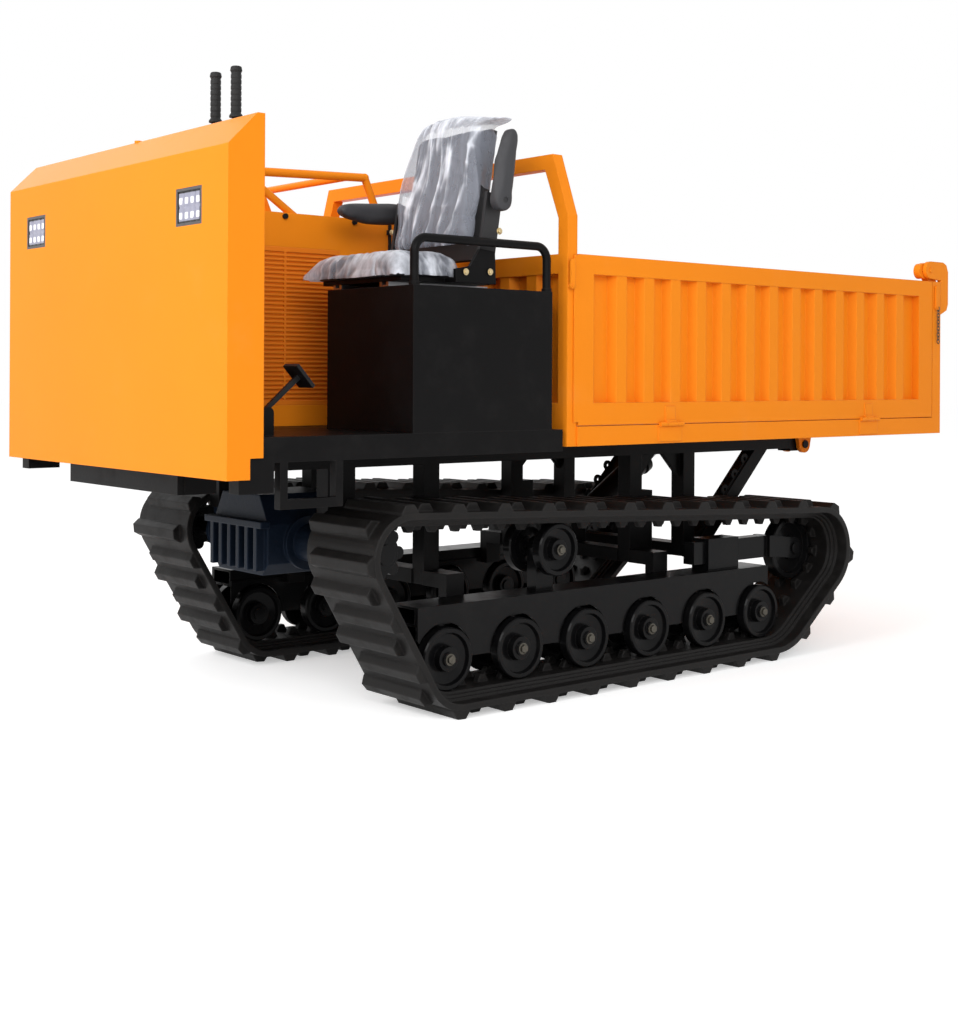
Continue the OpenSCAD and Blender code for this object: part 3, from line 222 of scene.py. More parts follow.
# %% World
SKY_SEEN, SKY_LIT = 1.0, 0.64
world = bpy.data.worlds.new("studio_world")
bpy.context.scene.world = world
world.use_nodes = True
sky = world.node_tree
sky.nodes.clear()
sky_out = sky.nodes.new("ShaderNodeOutputWorld")
seen = sky.nodes.new("ShaderNodeBackground")
lit = sky.nodes.new("ShaderNodeBackground")
for background, strength in ((seen, SKY_SEEN), (lit, SKY_LIT)):
    background.inputs["Color"].default_value = (1, 1, 1, 1)
    background.inputs["Strength"].default_value = strength
ray = sky.nodes.new("ShaderNodeLightPath")
any_seen = ray.outputs["Is Camera Ray"]
for other in ("Is Glossy Ray", "Is Transmission Ray"):
    total = sky.nodes.new("ShaderNodeMath")
    sky.links.new(any_seen, total.inputs[0])
    sky.links.new(ray.outputs[other], total.inputs[1])
    any_seen = total.outputs[0]
pick = sky.nodes.new("ShaderNodeMixShader")
sky.links.new(any_seen, pick.inputs["Fac"])
sky.links.new(lit.outputs[0], pick.inputs[1])
sky.links.new(seen.outputs[0], pick.inputs[2])
sky.links.new(pick.outputs[0], sky_out.inputs["Surface"])
print("world: white to the camera,", SKY_LIT, "as light")


# %% Lamps
PANEL = (5.0, 3.0)


def lamp(name, place, aim, power):
    data = bpy.data.lights.new(name, "AREA")
    data.shape = "RECTANGLE"
    data.size, data.size_y = PANEL
    data.energy = power
    obj = bpy.data.objects.new(name, data)
    obj.location = place
    obj.rotation_euler = (Vector(aim) - Vector(place)).to_track_quat("-Z", "Y").to_euler()
    bpy.context.scene.collection.objects.link(obj)


lamp("front_light", (0.4, -7.5, 4.4), (0.0, -1.0, 0.9), 335.0)
lamp("side_light", (6.3, -3.9, 3.9), (0.3, -0.4, 0.9), 225.0)
lamp("right_light", (-6.5, -0.6, 4.2), (0.0, -0.6, 1.0), 48.0)

# %% [markdown]
# ## Orange enamel
# The shield, hood and cargo box are sheet steel under enamel. Sprayed enamel is never quite flat:
# it has a fine orange-peel ripple, it is a little thinner and paler along folded edges, and dust
# dulls it in faint patches. Edges are rolled in the shading, as sheet metal is never knife sharp.


# %% Orange enamel
def enamel(name, deep, bright, gloss=0.34):
    """A sprayed enamel between two close shades of one colour."""
    paint = Finish(name)
    roll, edge = paint.rounded(0.0035)
    shade = paint.noise(1.7, 3.0, 0.55)
    dust = paint.step(paint.noise(6.0, 5.0, 0.62), 0.55, 0.9)
    base = paint.blend(shade, deep, bright)
    pale = tuple(min(1.0, c * 1.12 + 0.02) for c in bright)
    base = paint.blend(edge * 0.45, base, pale)
    paint.base = paint.blend(dust * 0.06, base, (0.80, 0.50, 0.24))
    paint.surface(base_color=paint.base, roughness=gloss + dust * 0.14, specular_ior_level=0.06)
    paint.bump(paint.noise(260.0, 2.0) + paint.noise(40.0) * 0.6, 0.0005, 0.3, roll)
    return paint


orange = enamel("orange_enamel", (0.83, 0.232, 0.009), (0.90, 0.262, 0.013))
dress([n for n in nodes if n.startswith(("drop_side", "latch_"))]
      + ["front_shield", "hood_guard", "cargo_bed", "headboard", "tailgate"], orange)
grille_paint = enamel("grille_enamel", (0.86, 0.215, 0.014), (0.93, 0.245, 0.020), 0.44)
dress(["hood_grille"], grille_paint)
print("orange enamel on the bodywork")

# %% [markdown]
# The hood has black rubber feet and a strap on its side. They belong to the same node of the frame,
# so the hood's paint is told apart from them by place: what stands proud of the hood's side wall,
# high up, is rubber.

# %% Hood enamel
# Painted light: this copy of the orange enamel is a little paler than the body's, to brighten the hood's
# side, which lies in the shade of the shield and the seat.
hood_paint_lightened = enamel("hood_enamel", (0.88, 0.250, 0.010), (0.94, 0.280, 0.014))
HOOD_WALL_X, TRIM_LOW_Z = 0.0008, 1.30
trim = (hood_paint_lightened.x > HOOD_WALL_X) * (hood_paint_lightened.z > TRIM_LOW_Z)
hood_paint_lightened.surface(base_color=hood_paint_lightened.blend(trim, hood_paint_lightened.base, (0.012, 0.012, 0.013)))
dress(["engine_hood"], hood_paint_lightened)
print("hood enamel and its rubber trim")

# %% [markdown]
# ## Black enamel
# Chassis, platform, wheels and seat box are black. Thick satin enamel on welded tube shows soft
# highlights, a slightly uneven gloss, and paler edges where dust clings.


# %% Black enamel
def satin_black(name, dark, pale, gloss, level, coat=0.0):
    paint = Finish(name)
    roll, edge = paint.rounded(0.003)
    grime = paint.step(paint.noise(9.0, 6.0, 0.65), 0.45, 0.85)
    base = paint.blend(grime, dark, pale)
    paint.surface(base_color=paint.blend(edge * 0.5, base, tuple(c * 2.4 for c in pale)),
                  roughness=gloss + grime * 0.22, specular_ior_level=level,
                  coat_weight=coat, coat_roughness=0.09)
    paint.bump(paint.noise(90.0, 3.0) + paint.noise(420.0) * 0.4, 0.0006, 0.35, roll)
    return paint


black = satin_black("black_enamel", (0.0050, 0.0048, 0.0050), (0.0095, 0.0089, 0.0089), 0.36, 0.07)
dress(["chassis_frame", "operator_platform", "seat_box", "seat_handrail", "seat_pan", "cylinder_barrel"],
      black)
running_gear = satin_black("running_gear_black", (0.0038, 0.0038, 0.0042), (0.0095, 0.0090, 0.0086),
                           0.30, 0.05, 0.13)
RUNNING_GEAR = ("track_frame", "sprocket", "idler", "tension_yoke", "road_wheel", "carrier")
dress([n for n in nodes if n.startswith(RUNNING_GEAR)], running_gear)
print("black enamel on the frame and the running gear")

# %% [markdown]
# ## Track rubber
# The belts are moulded rubber: dull, very dark grey, with a chalky bloom in patches, paler rounded
# edges and a fine mould texture.

# %% Track rubber
rubber = Finish("track_rubber")
roll, edge = rubber.rounded(0.009)
bloom = rubber.step(rubber.noise(14.0, 6.0, 0.7), 0.42, 0.8)
worn = rubber.blend(bloom, (0.0070, 0.0063, 0.0060), (0.0150, 0.0138, 0.0130))
rubber.surface(base_color=rubber.blend(edge * 0.6, worn, (0.023, 0.0215, 0.021)),
               roughness=0.50 + bloom * 0.22, specular_ior_level=0.16)
rubber.bump(rubber.noise(160.0, 4.0) + rubber.noise(30.0) * 0.7, 0.0012, 0.45, roll)
dress([n for n in nodes if n.startswith("rubber_track")], rubber)

grip_rubber = Finish("grip_rubber")
handled = grip_rubber.blend(grip_rubber.noise(60.0), (0.009, 0.009, 0.009), (0.020, 0.020, 0.020))
grip_rubber.surface(base_color=handled,
                    roughness=0.5 + grip_rubber.noise(25.0) * 0.1, specular_ior_level=0.2)
grip_rubber.bump(grip_rubber.noise(700.0), 0.0003, 0.5)
dress(["grip_left", "grip_right"], grip_rubber)
print("rubber on belts and grips")

# %% [markdown]
# ## Metals and castings
# Rails and the tipping rod are bare or plated steel with fine drawing marks. The transmission is a
# casting in dark blue-black paint, and the engine a grey one: both are rough to the touch.

# %% Metals and castings
steel = Finish("drawn_steel")
drawn = steel.noise(60.0, 4.0, 0.6, (6.0, 6.0, 0.5))
steel.surface(base_color=steel.blend(drawn, (0.30, 0.30, 0.31), (0.44, 0.44, 0.45)), metallic=1.0,
              roughness=0.30 + drawn * 0.18)
steel.bump(drawn, 0.0002, 0.4)
dress(["cooling_fan", "cylinder_rod", "seat_rails"], steel)

chain_steel = Finish("oiled_chain_steel")
oil = chain_steel.noise(140.0, 3.0, 0.6)
chain_steel.surface(base_color=chain_steel.blend(oil, (0.055, 0.050, 0.040), (0.13, 0.12, 0.10)),
                    metallic=0.8, roughness=0.38 + oil * 0.2)
chain_steel.bump(oil, 0.0002, 0.4)

lever_paint = satin_black("lever_paint", (0.008, 0.008, 0.009), (0.016, 0.016, 0.017), 0.34, 0.16)
dress(["lever_left", "lever_right", "brake_pedal"], lever_paint)

brass = Finish("zinc_yellow_plating")
rub = brass.noise(180.0, 3.0, 0.6)
brass.surface(base_color=brass.blend(rub, (0.52, 0.40, 0.20), (0.70, 0.58, 0.36)), metallic=1.0,
              roughness=0.26 + rub * 0.2)
brass.bump(rub, 0.0002, 0.4)
print("steel, black lever paint and yellow zinc")


# %% Castings
def casting(name, dark, pale, scale, level):
    paint = Finish(name)
    roll, edge = paint.rounded(0.006)
    sand = paint.noise(scale, 5.0, 0.65)
    base = paint.blend(sand, dark, pale)
    paint.surface(base_color=paint.blend(edge * 0.5, base, tuple(c * 1.9 for c in pale)),
                  roughness=0.32 + sand * 0.2, specular_ior_level=level)
    paint.bump(sand, 0.0012, 0.45, roll)
    return paint


navy = casting("navy_casting", (0.0035, 0.0062, 0.0125), (0.0080, 0.0140, 0.0260), 120.0, 0.10)
dress(["gearbox"], navy)
iron = casting("engine_casting", (0.075, 0.078, 0.082), (0.13, 0.135, 0.14), 110.0, 0.4)
dress(["engine"], iron)
print("navy and iron castings")

# %% [markdown]
# ## Seat and lamp plastics
# The seat is covered in smooth black vinyl with a fine grain over a moulded plastic shell. The lamps
# have a dark bezel with bright diodes behind a clear moulded lens.

# %% Seat plastics
vinyl = Finish("seat_vinyl")
grain = vinyl.add("ShaderNodeTexVoronoi", {"feature": "DISTANCE_TO_EDGE"},
                  {"Vector": vinyl.place, "Scale": 420.0})[0]
vinyl.surface(base_color=vinyl.blend(vinyl.noise(9.0), (0.020, 0.020, 0.022), (0.034, 0.034, 0.037)),
              roughness=0.44 + vinyl.noise(25.0) * 0.12, specular_ior_level=0.4)
vinyl.bump(vinyl.step(grain, 0.0, 0.12), 0.0003, 0.4)

foam_skin = Finish("armrest_skin")
pore = foam_skin.noise(900.0, 2.0)
skin = foam_skin.blend(foam_skin.noise(14.0), (0.030, 0.030, 0.033), (0.046, 0.046, 0.050))
foam_skin.surface(base_color=skin, roughness=0.56 + pore * 0.1, specular_ior_level=0.35)
foam_skin.bump(pore + foam_skin.noise(120.0) * 0.5, 0.0004, 0.4)
dress(["seat_cushion", "back_cushion", "armrest_left", "armrest_right"], vinyl)

shell = Finish("seat_shell_plastic")
shell.surface(base_color=shell.blend(shell.noise(12.0), (0.014, 0.014, 0.015), (0.026, 0.026, 0.028)),
              roughness=0.46 + shell.noise(40.0) * 0.1, specular_ior_level=0.35)
shell.bump(shell.noise(600.0), 0.0003, 0.5)
dress(["seat_back"], shell)
print("vinyl, armrest skin and shell plastic")

# %% Lamp plastics
LAMP_X, LAMP_Z, FRONT_Y = 0.494, 1.453, -1.647
DIODE_DEPTH, DIODE_ROWS_Z = (0.0094, 0.0106), 1.450
bezel = Finish("lamp_bezel")
diode = (bezel.y > FRONT_Y + DIODE_DEPTH[0]) * (bezel.y < FRONT_Y + DIODE_DEPTH[1])
plastic = bezel.blend(bezel.noise(40.0), (0.045, 0.042, 0.042), (0.085, 0.080, 0.080))
bezel.surface(base_color=bezel.blend(diode, plastic, (0.86, 0.87, 0.90)),
              roughness=0.35 + bezel.noise(80.0) * 0.1)
bezel.bump(bezel.noise(500.0), 0.0002, 0.4)
dress(["lamp_housings"], bezel)

lens = Finish("lamp_lens")
across = abs(lens.x) - LAMP_X
# Painted shade: a dark band along the lens's border stands in for the shade cast inside the housing's
# recess.
rim = lens.step(abs(across), 0.0545, 0.0565) + lens.step(abs(lens.z - LAMP_Z), 0.0365, 0.0385)
row = lens.step(0.0125 - abs(abs(lens.z - DIODE_ROWS_Z) - 0.020), 0.0, 0.007)
fold = across.maths("PINGPONG", 0.0155)
# Painted highlight: white glints over each pillow of the two diode rows, with noisy patches, stand in for
# light caught by the lens optics.
painted_glint = lens.step(row * lens.step(fold, 0.001, 0.012) + lens.noise(150.0, 2.0) * 0.7, 0.62, 1.15)
cool = lens.blend(lens.noise(60.0, 3.0), (0.22, 0.22, 0.29), (0.36, 0.36, 0.44))
lens.surface(base_color=lens.blend(rim, lens.blend(painted_glint, cool, (0.84, 0.84, 0.88)), (0.030, 0.028, 0.029)),
             roughness=0.16 + lens.noise(60.0) * 0.08, specular_ior_level=0.25, coat_weight=0.1)
lens.bump(lens.noise(90.0), 0.0004, 0.3)
dress(["lamp_lenses"], lens)
print("lamp bezel and lens")

# %% [markdown]
# ## Modelling by hand, in code
# Each new piece starts from a primitive at its size and place and is shaped with the operators that
# one would click. A few helpers keep that short: they clear the selection, add a box or a bar, select
# faces by where they are, apply a modifier, copy or join pieces, and hand a finished piece over.


# %% Modelling helpers
def ready(piece=None):
    """Object mode, with only one piece selected, or nothing."""
    if bpy.context.mode != "OBJECT":
        bpy.ops.object.mode_set(mode="OBJECT")
    bpy.ops.object.select_all(action="DESELECT")
    if piece:
        piece.select_set(True)
        bpy.context.view_layer.objects.active = piece


def named(name):
    """Names the primitive just added and moves its place into its mesh."""
    piece = bpy.context.object
    piece.name = piece.data.name = name
    bpy.ops.object.transform_apply(location=True, rotation=True, scale=True)
    return piece


def box(name, low, high):
    ready()
    low, high = Vector(low), Vector(high)
    bpy.ops.mesh.primitive_cube_add(size=1.0, location=(low + high) / 2)
    bpy.context.object.scale = high - low
    return named(name)


def bar(name, start, end, radius, sides=24):
    ready()
    start, end = Vector(start), Vector(end)
    turn = (end - start).to_track_quat("Z", "Y").to_euler()
    bpy.ops.mesh.primitive_cylinder_add(vertices=sides, radius=radius, depth=(end - start).length,
                                        location=(start + end) / 2, rotation=turn)
    return named(name)


def choose(piece, test):
    """Edit mode, with the faces selected whose middle and normal pass a test."""
    ready(piece)
    bpy.ops.object.mode_set(mode="EDIT")
    bpy.ops.mesh.select_mode(type="FACE")
    bpy.ops.mesh.select_all(action="DESELECT")
    mesh = bmesh.from_edit_mesh(piece.data)
    for face in mesh.faces:
        corners = [v.co for v in face.verts]
        if test(sum(corners, Vector()) / len(corners), face.normal):
            face.select_set(True)
    mesh.select_flush_mode()
    bmesh.update_edit_mesh(piece.data)


print("selection helpers ready")


# %% Modifier, copy and hand-over
def use(piece, kind, **settings):
    """Adds a modifier and applies it."""
    ready(piece)
    modifier = piece.modifiers.new(kind.title(), kind)
    for key, value in settings.items():
        setattr(modifier, key, value)
    bpy.ops.object.modifier_apply(modifier=modifier.name)


def copied(piece, name, move=Matrix()):
    """A copy with its own mesh, put elsewhere by a matrix."""
    twin = piece.copy()
    twin.data = piece.data.copy()
    twin.name = twin.data.name = name
    bpy.context.scene.collection.objects.link(twin)
    twin.data.transform(move)
    return twin


def joined(name, pieces):
    ready(pieces[0])
    for piece in pieces:
        piece.select_set(True)
    bpy.ops.object.join()
    pieces[0].name = pieces[0].data.name = name
    return pieces[0]


def deliver(piece, body, finish, angle=35):
    """Smooths a finished piece, paints it and hands it to the body that carries it."""
    ready(piece)
    bpy.ops.object.shade_smooth_by_angle(angle=math.radians(angle))
    piece.data.materials.clear()
    piece.data.materials.append(finish.material)
    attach(piece, body)
    print(piece.name, len(piece.data.polygons), "faces, rides on", body)


print("hand-over helpers ready")

# %% [markdown]
# ## Seat pads
# A foam pad under vinyl is full in the middle, pulls in between its corners and lies flat only on
# what carries it. A block is bevelled, remeshed into even small faces and blown up a little by
# cloth pressure; a cap keeps each point near its start, and what rests on pan or shell is pressed flat.

# %% Pad helpers
SEAT_X, PAN_TOP = 0.400, 1.292
RECLINE_PIVOT, BACK_LEAN = (SEAT_X, -0.737, 1.332), -9.0
LEAN = Matrix.Translation(RECLINE_PIVOT) @ Matrix.Rotation(math.radians(BACK_LEAN), 4, "X")
PRESSURE, CLOTH_FRAMES = 4.0, 20


def puff(piece, cap, voxel=0.005):
    """Swells a closed shape as foam does under a tight cover."""
    use(piece, "REMESH", mode="VOXEL", voxel_size=voxel)
    start = [v.co.copy() for v in piece.data.vertices]
    ready(piece)
    cloth = piece.modifiers.new("Cloth", "CLOTH")
    cloth.settings.use_pressure = True
    cloth.settings.uniform_pressure_force = PRESSURE
    cloth.settings.effector_weights.gravity = 0.0
    for frame_number in range(1, CLOTH_FRAMES + 1):
        bpy.context.scene.frame_set(frame_number)
    bpy.ops.object.modifier_apply(modifier=cloth.name)
    bpy.context.scene.frame_set(1)
    for vertex, before in zip(piece.data.vertices, start):
        move = vertex.co - before
        vertex.co = before + move * min(1.0, cap / max(move.length, 1e-9))
    use(piece, "SMOOTH", factor=0.5, iterations=6)
    use(piece, "SUBSURF", levels=1, render_levels=1)


def sew(piece, seams, depth=0.006, width=0.012):
    """Presses a valley along each seam, a test that gives a point's distance from it."""
    normals = [v.normal.copy() for v in piece.data.vertices]
    for vertex, normal in zip(piece.data.vertices, normals):
        near = min(seam(vertex.co) for seam in seams)
        if near < width:
            vertex.co -= normal * depth * (1 - (near / width) ** 2) ** 2


def press_flat(piece, axis, limit, below):
    for vertex in piece.data.vertices:
        if (vertex.co[axis] < limit) == below:
            vertex.co[axis] = limit


print("pads: cloth", "on")

# %% Seat cushion
SEAT_HALF, SEAT_FRONT, SEAT_REAR, SEAT_THICK, SEAT_SEAM = 0.224, -1.050, -0.797, 0.053, 0.106
cushion = box("seat_cushion_pad", (SEAT_X - SEAT_HALF, SEAT_FRONT, PAN_TOP),
              (SEAT_X + SEAT_HALF, SEAT_REAR, PAN_TOP + SEAT_THICK))
choose(cushion, lambda m, n: n.z > 0.9)
bpy.ops.transform.resize(value=(0.88, 0.82, 1.0), center_override=(SEAT_X, -0.918, PAN_TOP + SEAT_THICK))
use(cushion, "BEVEL", width=0.018, segments=3)
puff(cushion, 0.012)
sew(cushion, [lambda p: abs(p.x - SEAT_X - SEAT_SEAM), lambda p: abs(p.x - SEAT_X + SEAT_SEAM)])
press_flat(cushion, 2, PAN_TOP + 0.0004, True)
print("seat cushion", len(cushion.data.vertices), "points")

# %% Back cushion
BACK_HALF, BACK_FRONT, SHELL_FACE = 0.152, -0.030, 0.0255
BACK_LOW, BACK_TOP, BACK_SEAM = 0.074, 0.450, 0.078
rest = box("back_cushion_pad", (-BACK_HALF, BACK_FRONT, BACK_LOW), (BACK_HALF, SHELL_FACE, BACK_TOP))
choose(rest, lambda m, n: n.y < -0.9)
bpy.ops.transform.resize(value=(0.90, 1.0, 0.84), center_override=(0.0, BACK_FRONT, 0.262))
choose(rest, lambda m, n: n.z > 0.7)
bpy.ops.transform.resize(value=(0.96, 1.0, 1.0), center_override=(0.0, 0.0, BACK_TOP))
use(rest, "BEVEL", width=0.018, segments=3)
puff(rest, 0.016)
sew(rest, [lambda p: abs(p.x - BACK_SEAM) + max(0.0, p.y) * 9,
           lambda p: abs(p.x + BACK_SEAM) + max(0.0, p.y) * 9])
press_flat(rest, 1, SHELL_FACE, False)
print("back cushion", len(rest.data.vertices), "points")

# %% [markdown]
# ## Armrests
# Each armrest is one moulded foam pad: thick and round at its pivot, thinner towards a rounded nose.
# Its outline is laid out as a ring of corners, filled, pulled to its width and then rounded.


# %% Armrests
def plate(name, corners, push):
    """A ring of corners, filled and extruded."""
    ready()
    bpy.ops.mesh.primitive_circle_add(vertices=len(corners), radius=1.0, fill_type="NGON")
    piece = named(name)
    for vertex, corner in zip(piece.data.vertices, corners):
        vertex.co = corner
    choose(piece, lambda m, n: True)
    bpy.ops.mesh.extrude_region_move(TRANSFORM_OT_translate={"value": push})
    bpy.ops.mesh.select_all(action="SELECT")
    bpy.ops.mesh.normals_make_consistent(inside=False)
    ready(piece)
    return piece


HEEL, ARM_WIDTH, ARM_BORE = 0.033, 0.040, 0.0091
heel_angles = [math.radians(15 * k - 90) for k in range(13)]
heel = [(HEEL * math.cos(a), HEEL * math.sin(a)) for a in heel_angles]
nose = [(-0.190, HEEL), (-0.207, 0.030), (-0.219, 0.021), (-0.223, 0.010), (-0.216, -0.002),
        (-0.195, -0.012), (-0.120, -0.031)]
arm = plate("armrest", [(-ARM_WIDTH / 2, y, z) for y, z in heel + nose], (ARM_WIDTH, 0, 0))
use(arm, "BEVEL", width=0.009, segments=3, limit_method="ANGLE", angle_limit=math.radians(60))
puff(arm, 0.004, 0.004)
bore = bar("armrest_bore", (-0.05, 0, 0), (0.05, 0, 0), ARM_BORE, 40)
use(arm, "BOOLEAN", operation="DIFFERENCE", object=bore, solver="EXACT")
bpy.data.objects.remove(bore)
print("armrest", len(arm.data.vertices), "points,", round(arm.dimensions.y * 1000), "mm long")

# %% Put the pads on the seat
seat_film = copied(cushion, "seat_film")
ARM_X, ARM_Y, ARM_Z = 0.265, 0.0154, 0.203
for side, name, turn in ((1, "left", -88.0), (-1, "right", 13.0)):
    pivot = LEAN @ Matrix.Translation((side * ARM_X, ARM_Y, ARM_Z))
    pad = copied(arm, "armrest_pad_" + name, pivot @ Matrix.Rotation(math.radians(turn), 4, "X"))
    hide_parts("armrest_" + name)
    deliver(pad, "arm_" + name, foam_skin, 50)
bpy.data.objects.remove(arm)
rest.data.transform(LEAN)
for pad, node, body in ((cushion, "seat_cushion", "seat"), (rest, "back_cushion", "backrest")):
    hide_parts(node)
    deliver(pad, body, vinyl, 60)

# %% [markdown]
# ## Clear film
# The seat is new and still wears its clear plastic covers. Such film clings where it is tight,
# stands off in sharp crests where it is loose, and catches the light along those crests. The seat's
# cover starts as a copy of its pad and the back's as a rounded bag, both without the faces that they
# don't reach. Their points are lifted by ridged noise, and the same number is kept on the mesh so that
# the finish can paint a white highlight along the crests.

# %% Film finish
film = Finish("clear_film")
crest = film.add("ShaderNodeAttribute", {"attribute_name": "crest"})[2]
haze = film.noise(34.0, 4.0, 0.6, (1.0, 1.0, 0.28))
# Painted highlight: colour and opacity turn white along the crests and in hazy streaks, standing in for
# light that the loose film catches.
white = film.step(crest + (haze - 0.5) * 0.7, 0.52, 1.20)
film.surface(base_color=film.blend(white, (0.34, 0.36, 0.42), (0.80, 0.83, 0.90)),
             roughness=0.26 + haze * 0.16, alpha=0.37 + haze * 0.20 + white * 0.42, specular_ior_level=0.26)
film.bump(haze + film.noise(120.0, 3.0) * 0.5, 0.0015, 0.5)
film.material.use_backface_culling = False
print("film finish: white along the crests")


# %% Film folds
def ridged(x, y, z):
    """Thin crests between wide valleys, 0 to 1."""
    return max(0.0, 1.0 - 2.4 * abs(noise.noise(Vector((x, y, z))))) ** 2


def smooth(value, low, high):
    t = max(0.0, min(1.0, (value - low) / (high - low)))
    return t * t * (3 - 2 * t)


def drape(sheet, fold, lift, loose):
    """Lifts each point along its normal by its fold, and keeps the fold as an attribute."""
    normals = [v.normal.copy() for v in sheet.data.vertices]
    folds = [fold(v.co) for v in sheet.data.vertices]
    for vertex, normal, height in zip(sheet.data.vertices, normals, folds):
        vertex.co += normal * (0.003 + lift * height) + Vector(loose(vertex.co, height))
    sheet.data.attributes.new("crest", "FLOAT", "POINT").data.foreach_set("value", folds)


def declare(sheet, body):
    """Hands a cover over to the body that carries it, in the film finish."""
    deliver(sheet, body, film, 70)


print("film folds ready")


# %% Back cover
# The fold also sets the film's painted highlight; it rises near the top of the bag, so the cover's upper
# rim is painted whiter.
def back_fold(p):
    sway = 0.02 * noise.noise(Vector((p.x * 4, 5.0, p.z * 5)))
    long = ridged((p.x + sway) * 17, 2.0 + p.y * 6, p.z * 2.0)
    fine = ridged((p.x + sway) * 41, 7.0 + p.y * 9, p.z * 4.0)
    cross = ridged(p.x * 8 + p.z * 7, 4.0, p.z * 11)
    rim = smooth(p.z, 0.415, 0.455)
    return min(1.0, 0.72 * long + 0.36 * fine + 0.20 * cross + 0.35 * rim)


def back_loose(p, height):
    """Where the back cover hangs off its bag: a loose ear, slack sides, tucks and a lip over the shell."""
    front = smooth(0.03 - p.y, 0.0, 0.07)
    ear = smooth(p.x, 0.04, 0.150) * smooth(p.z, 0.425, 0.462)
    hem = smooth(0.15 - p.z, 0.0, 0.10)
    belly = math.sin(math.pi * smooth(p.z, 0.03, 0.42)) * smooth(0.02 - p.y, 0.0, 0.05)
    low = smooth(0.22 - p.z, 0.0, 0.12) * smooth(0.02 - p.y, 0.0, 0.05)
    slack = 0.030 * smooth(p.x, 0.06, 0.16) * max(belly, low)
    tuck = -min(p.x, 0.0) * front * (0.30 * smooth(p.z, 0.26, 0.45) + 0.14 * smooth(0.22 - p.z, 0.0, 0.16))
    lip = smooth(p.z, 0.415, 0.440) * max(0.0, p.y - 0.006)
    crown = 0.014 * smooth(p.z, 0.42, 0.46) * height * (1 - ear)
    corner = 0.016 * front * smooth(-p.x, 0.05, 0.15) * smooth(p.z, 0.40, 0.45)
    return (0.130 * ear + slack + tuck,
            -0.014 * hem * (0.3 + height) - 0.9 * lip,
            crown - 0.018 * ear - corner)


back_film = box("back_film", (-0.174, -0.058, 0.050), (0.176, 0.062, 0.460))
choose(back_film, lambda m, n: n.z > 0.9)
bpy.ops.transform.resize(value=(1.0, 0.80, 1.0), center_override=(0.0, 0.036, 0.460))
use(back_film, "BEVEL", width=0.040, segments=5)
use(back_film, "REMESH", mode="VOXEL", voxel_size=0.0055)
use(back_film, "SMOOTH", factor=0.5, iterations=8)
use(back_film, "SUBSURF", levels=1, render_levels=1)
choose(back_film, lambda m, n: m.z < 0.062 or m.y > 0.046 or (m.z < 0.248 and m.y > -0.020))
bpy.ops.mesh.delete(type="FACE")
ready(back_film)
drape(back_film, back_fold, 0.010, back_loose)
back_film.data.transform(LEAN)
use(back_film, "SMOOTH", factor=0.4, iterations=2)
declare(back_film, "backrest")


# %% Seat cover
# The fold also sets the film's painted highlight; it never drops below 0.66, so the whole seat cover is
# painted pale.
def seat_fold(p):
    wide = ridged(p.x * 8 + 3 * p.y, p.y * 10, 1.0)
    fine = ridged(p.x * 24 - 6 * p.y, p.y * 26, p.z * 14)
    return min(1.0, 0.66 + 0.45 * wide + 0.25 * fine)


def seat_loose(p, height):
    """Where the seat cover leaves its pad: a pulled tip at the front and a flared hem."""
    tip = smooth(0.235 - p.x, 0.0, 0.07) * smooth(-0.985 - p.y, 0.0, 0.07)
    hem = smooth(PAN_TOP + 0.022 - p.z, 0.0, 0.02)
    out = Vector((p.x - SEAT_X, p.y + 0.92, 0)).normalized()
    return out * (0.010 * hem * (0.3 + height)) + Vector((-0.030, -0.044, 0.002)) * tip


choose(seat_film, lambda m, n: n.z < -0.5 or m.z < PAN_TOP + 0.006)
bpy.ops.mesh.delete(type="FACE")
ready(seat_film)
drape(seat_film, seat_fold, 0.011, seat_loose)
use(seat_film, "SMOOTH", factor=0.4, iterations=2)
declare(seat_film, "seat")

# %% [markdown]
# ## Lamp lenses
# Each work lamp has two rows of diodes, and its moulded lens has a small pillow over each one. A
# plate is cut into eight fields by bisecting it; each field is inset and raised in two steps.

# %% Lamp lenses
GLASS_HALF, GLASS_HIGH, FIELD, FIELD_EDGE = 0.062, 0.043, 0.031, 0.006
glasses = []
for side in (-1, 1):
    middle = side * LAMP_X
    glass = box("lamp_glass", (middle - GLASS_HALF, FRONT_Y + 0.0032, LAMP_Z - GLASS_HIGH),
                (middle + GLASS_HALF, FRONT_Y + 0.007, LAMP_Z + GLASS_HIGH))
    upright_cuts = [((middle + k * FIELD, 0, 0), (1, 0, 0)) for k in (-1, 0, 1)]
    for cut, way in upright_cuts + [((0, 0, LAMP_Z), (0, 0, 1))]:
        choose(glass, lambda m, n: True)
        bpy.ops.mesh.bisect(plane_co=cut, plane_no=way)
    for inset, rise in ((0.0022, 0.0), (0.0016, -0.0010), (0.0030, -0.0007)):
        choose(glass, lambda m, n: (n.y < -0.99 and abs(m.x - middle) % FIELD > FIELD_EDGE
                                    and abs(m.z - LAMP_Z) > FIELD_EDGE))
        bpy.ops.mesh.inset(thickness=inset, use_individual=True)
        bpy.ops.transform.translate(value=(0, rise, 0))
    glasses.append(glass)
lens_pair = joined("lamp_lens_pair", glasses)
use(lens_pair, "BEVEL", width=0.0004, segments=2, limit_method="ANGLE", angle_limit=math.radians(25))
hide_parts("lamp_lenses")
deliver(lens_pair, "base", lens, 30)

# %% [markdown]
# ## Louvres
# The hood breathes through slotted panels. Behind every row of slots lies a slanting blade, pressed
# from the same sheet, which keeps splashes out and makes the panel look closed from outside. One
# blade is a thin strip whose lower edge is pulled inwards; an array repeats it for every row.

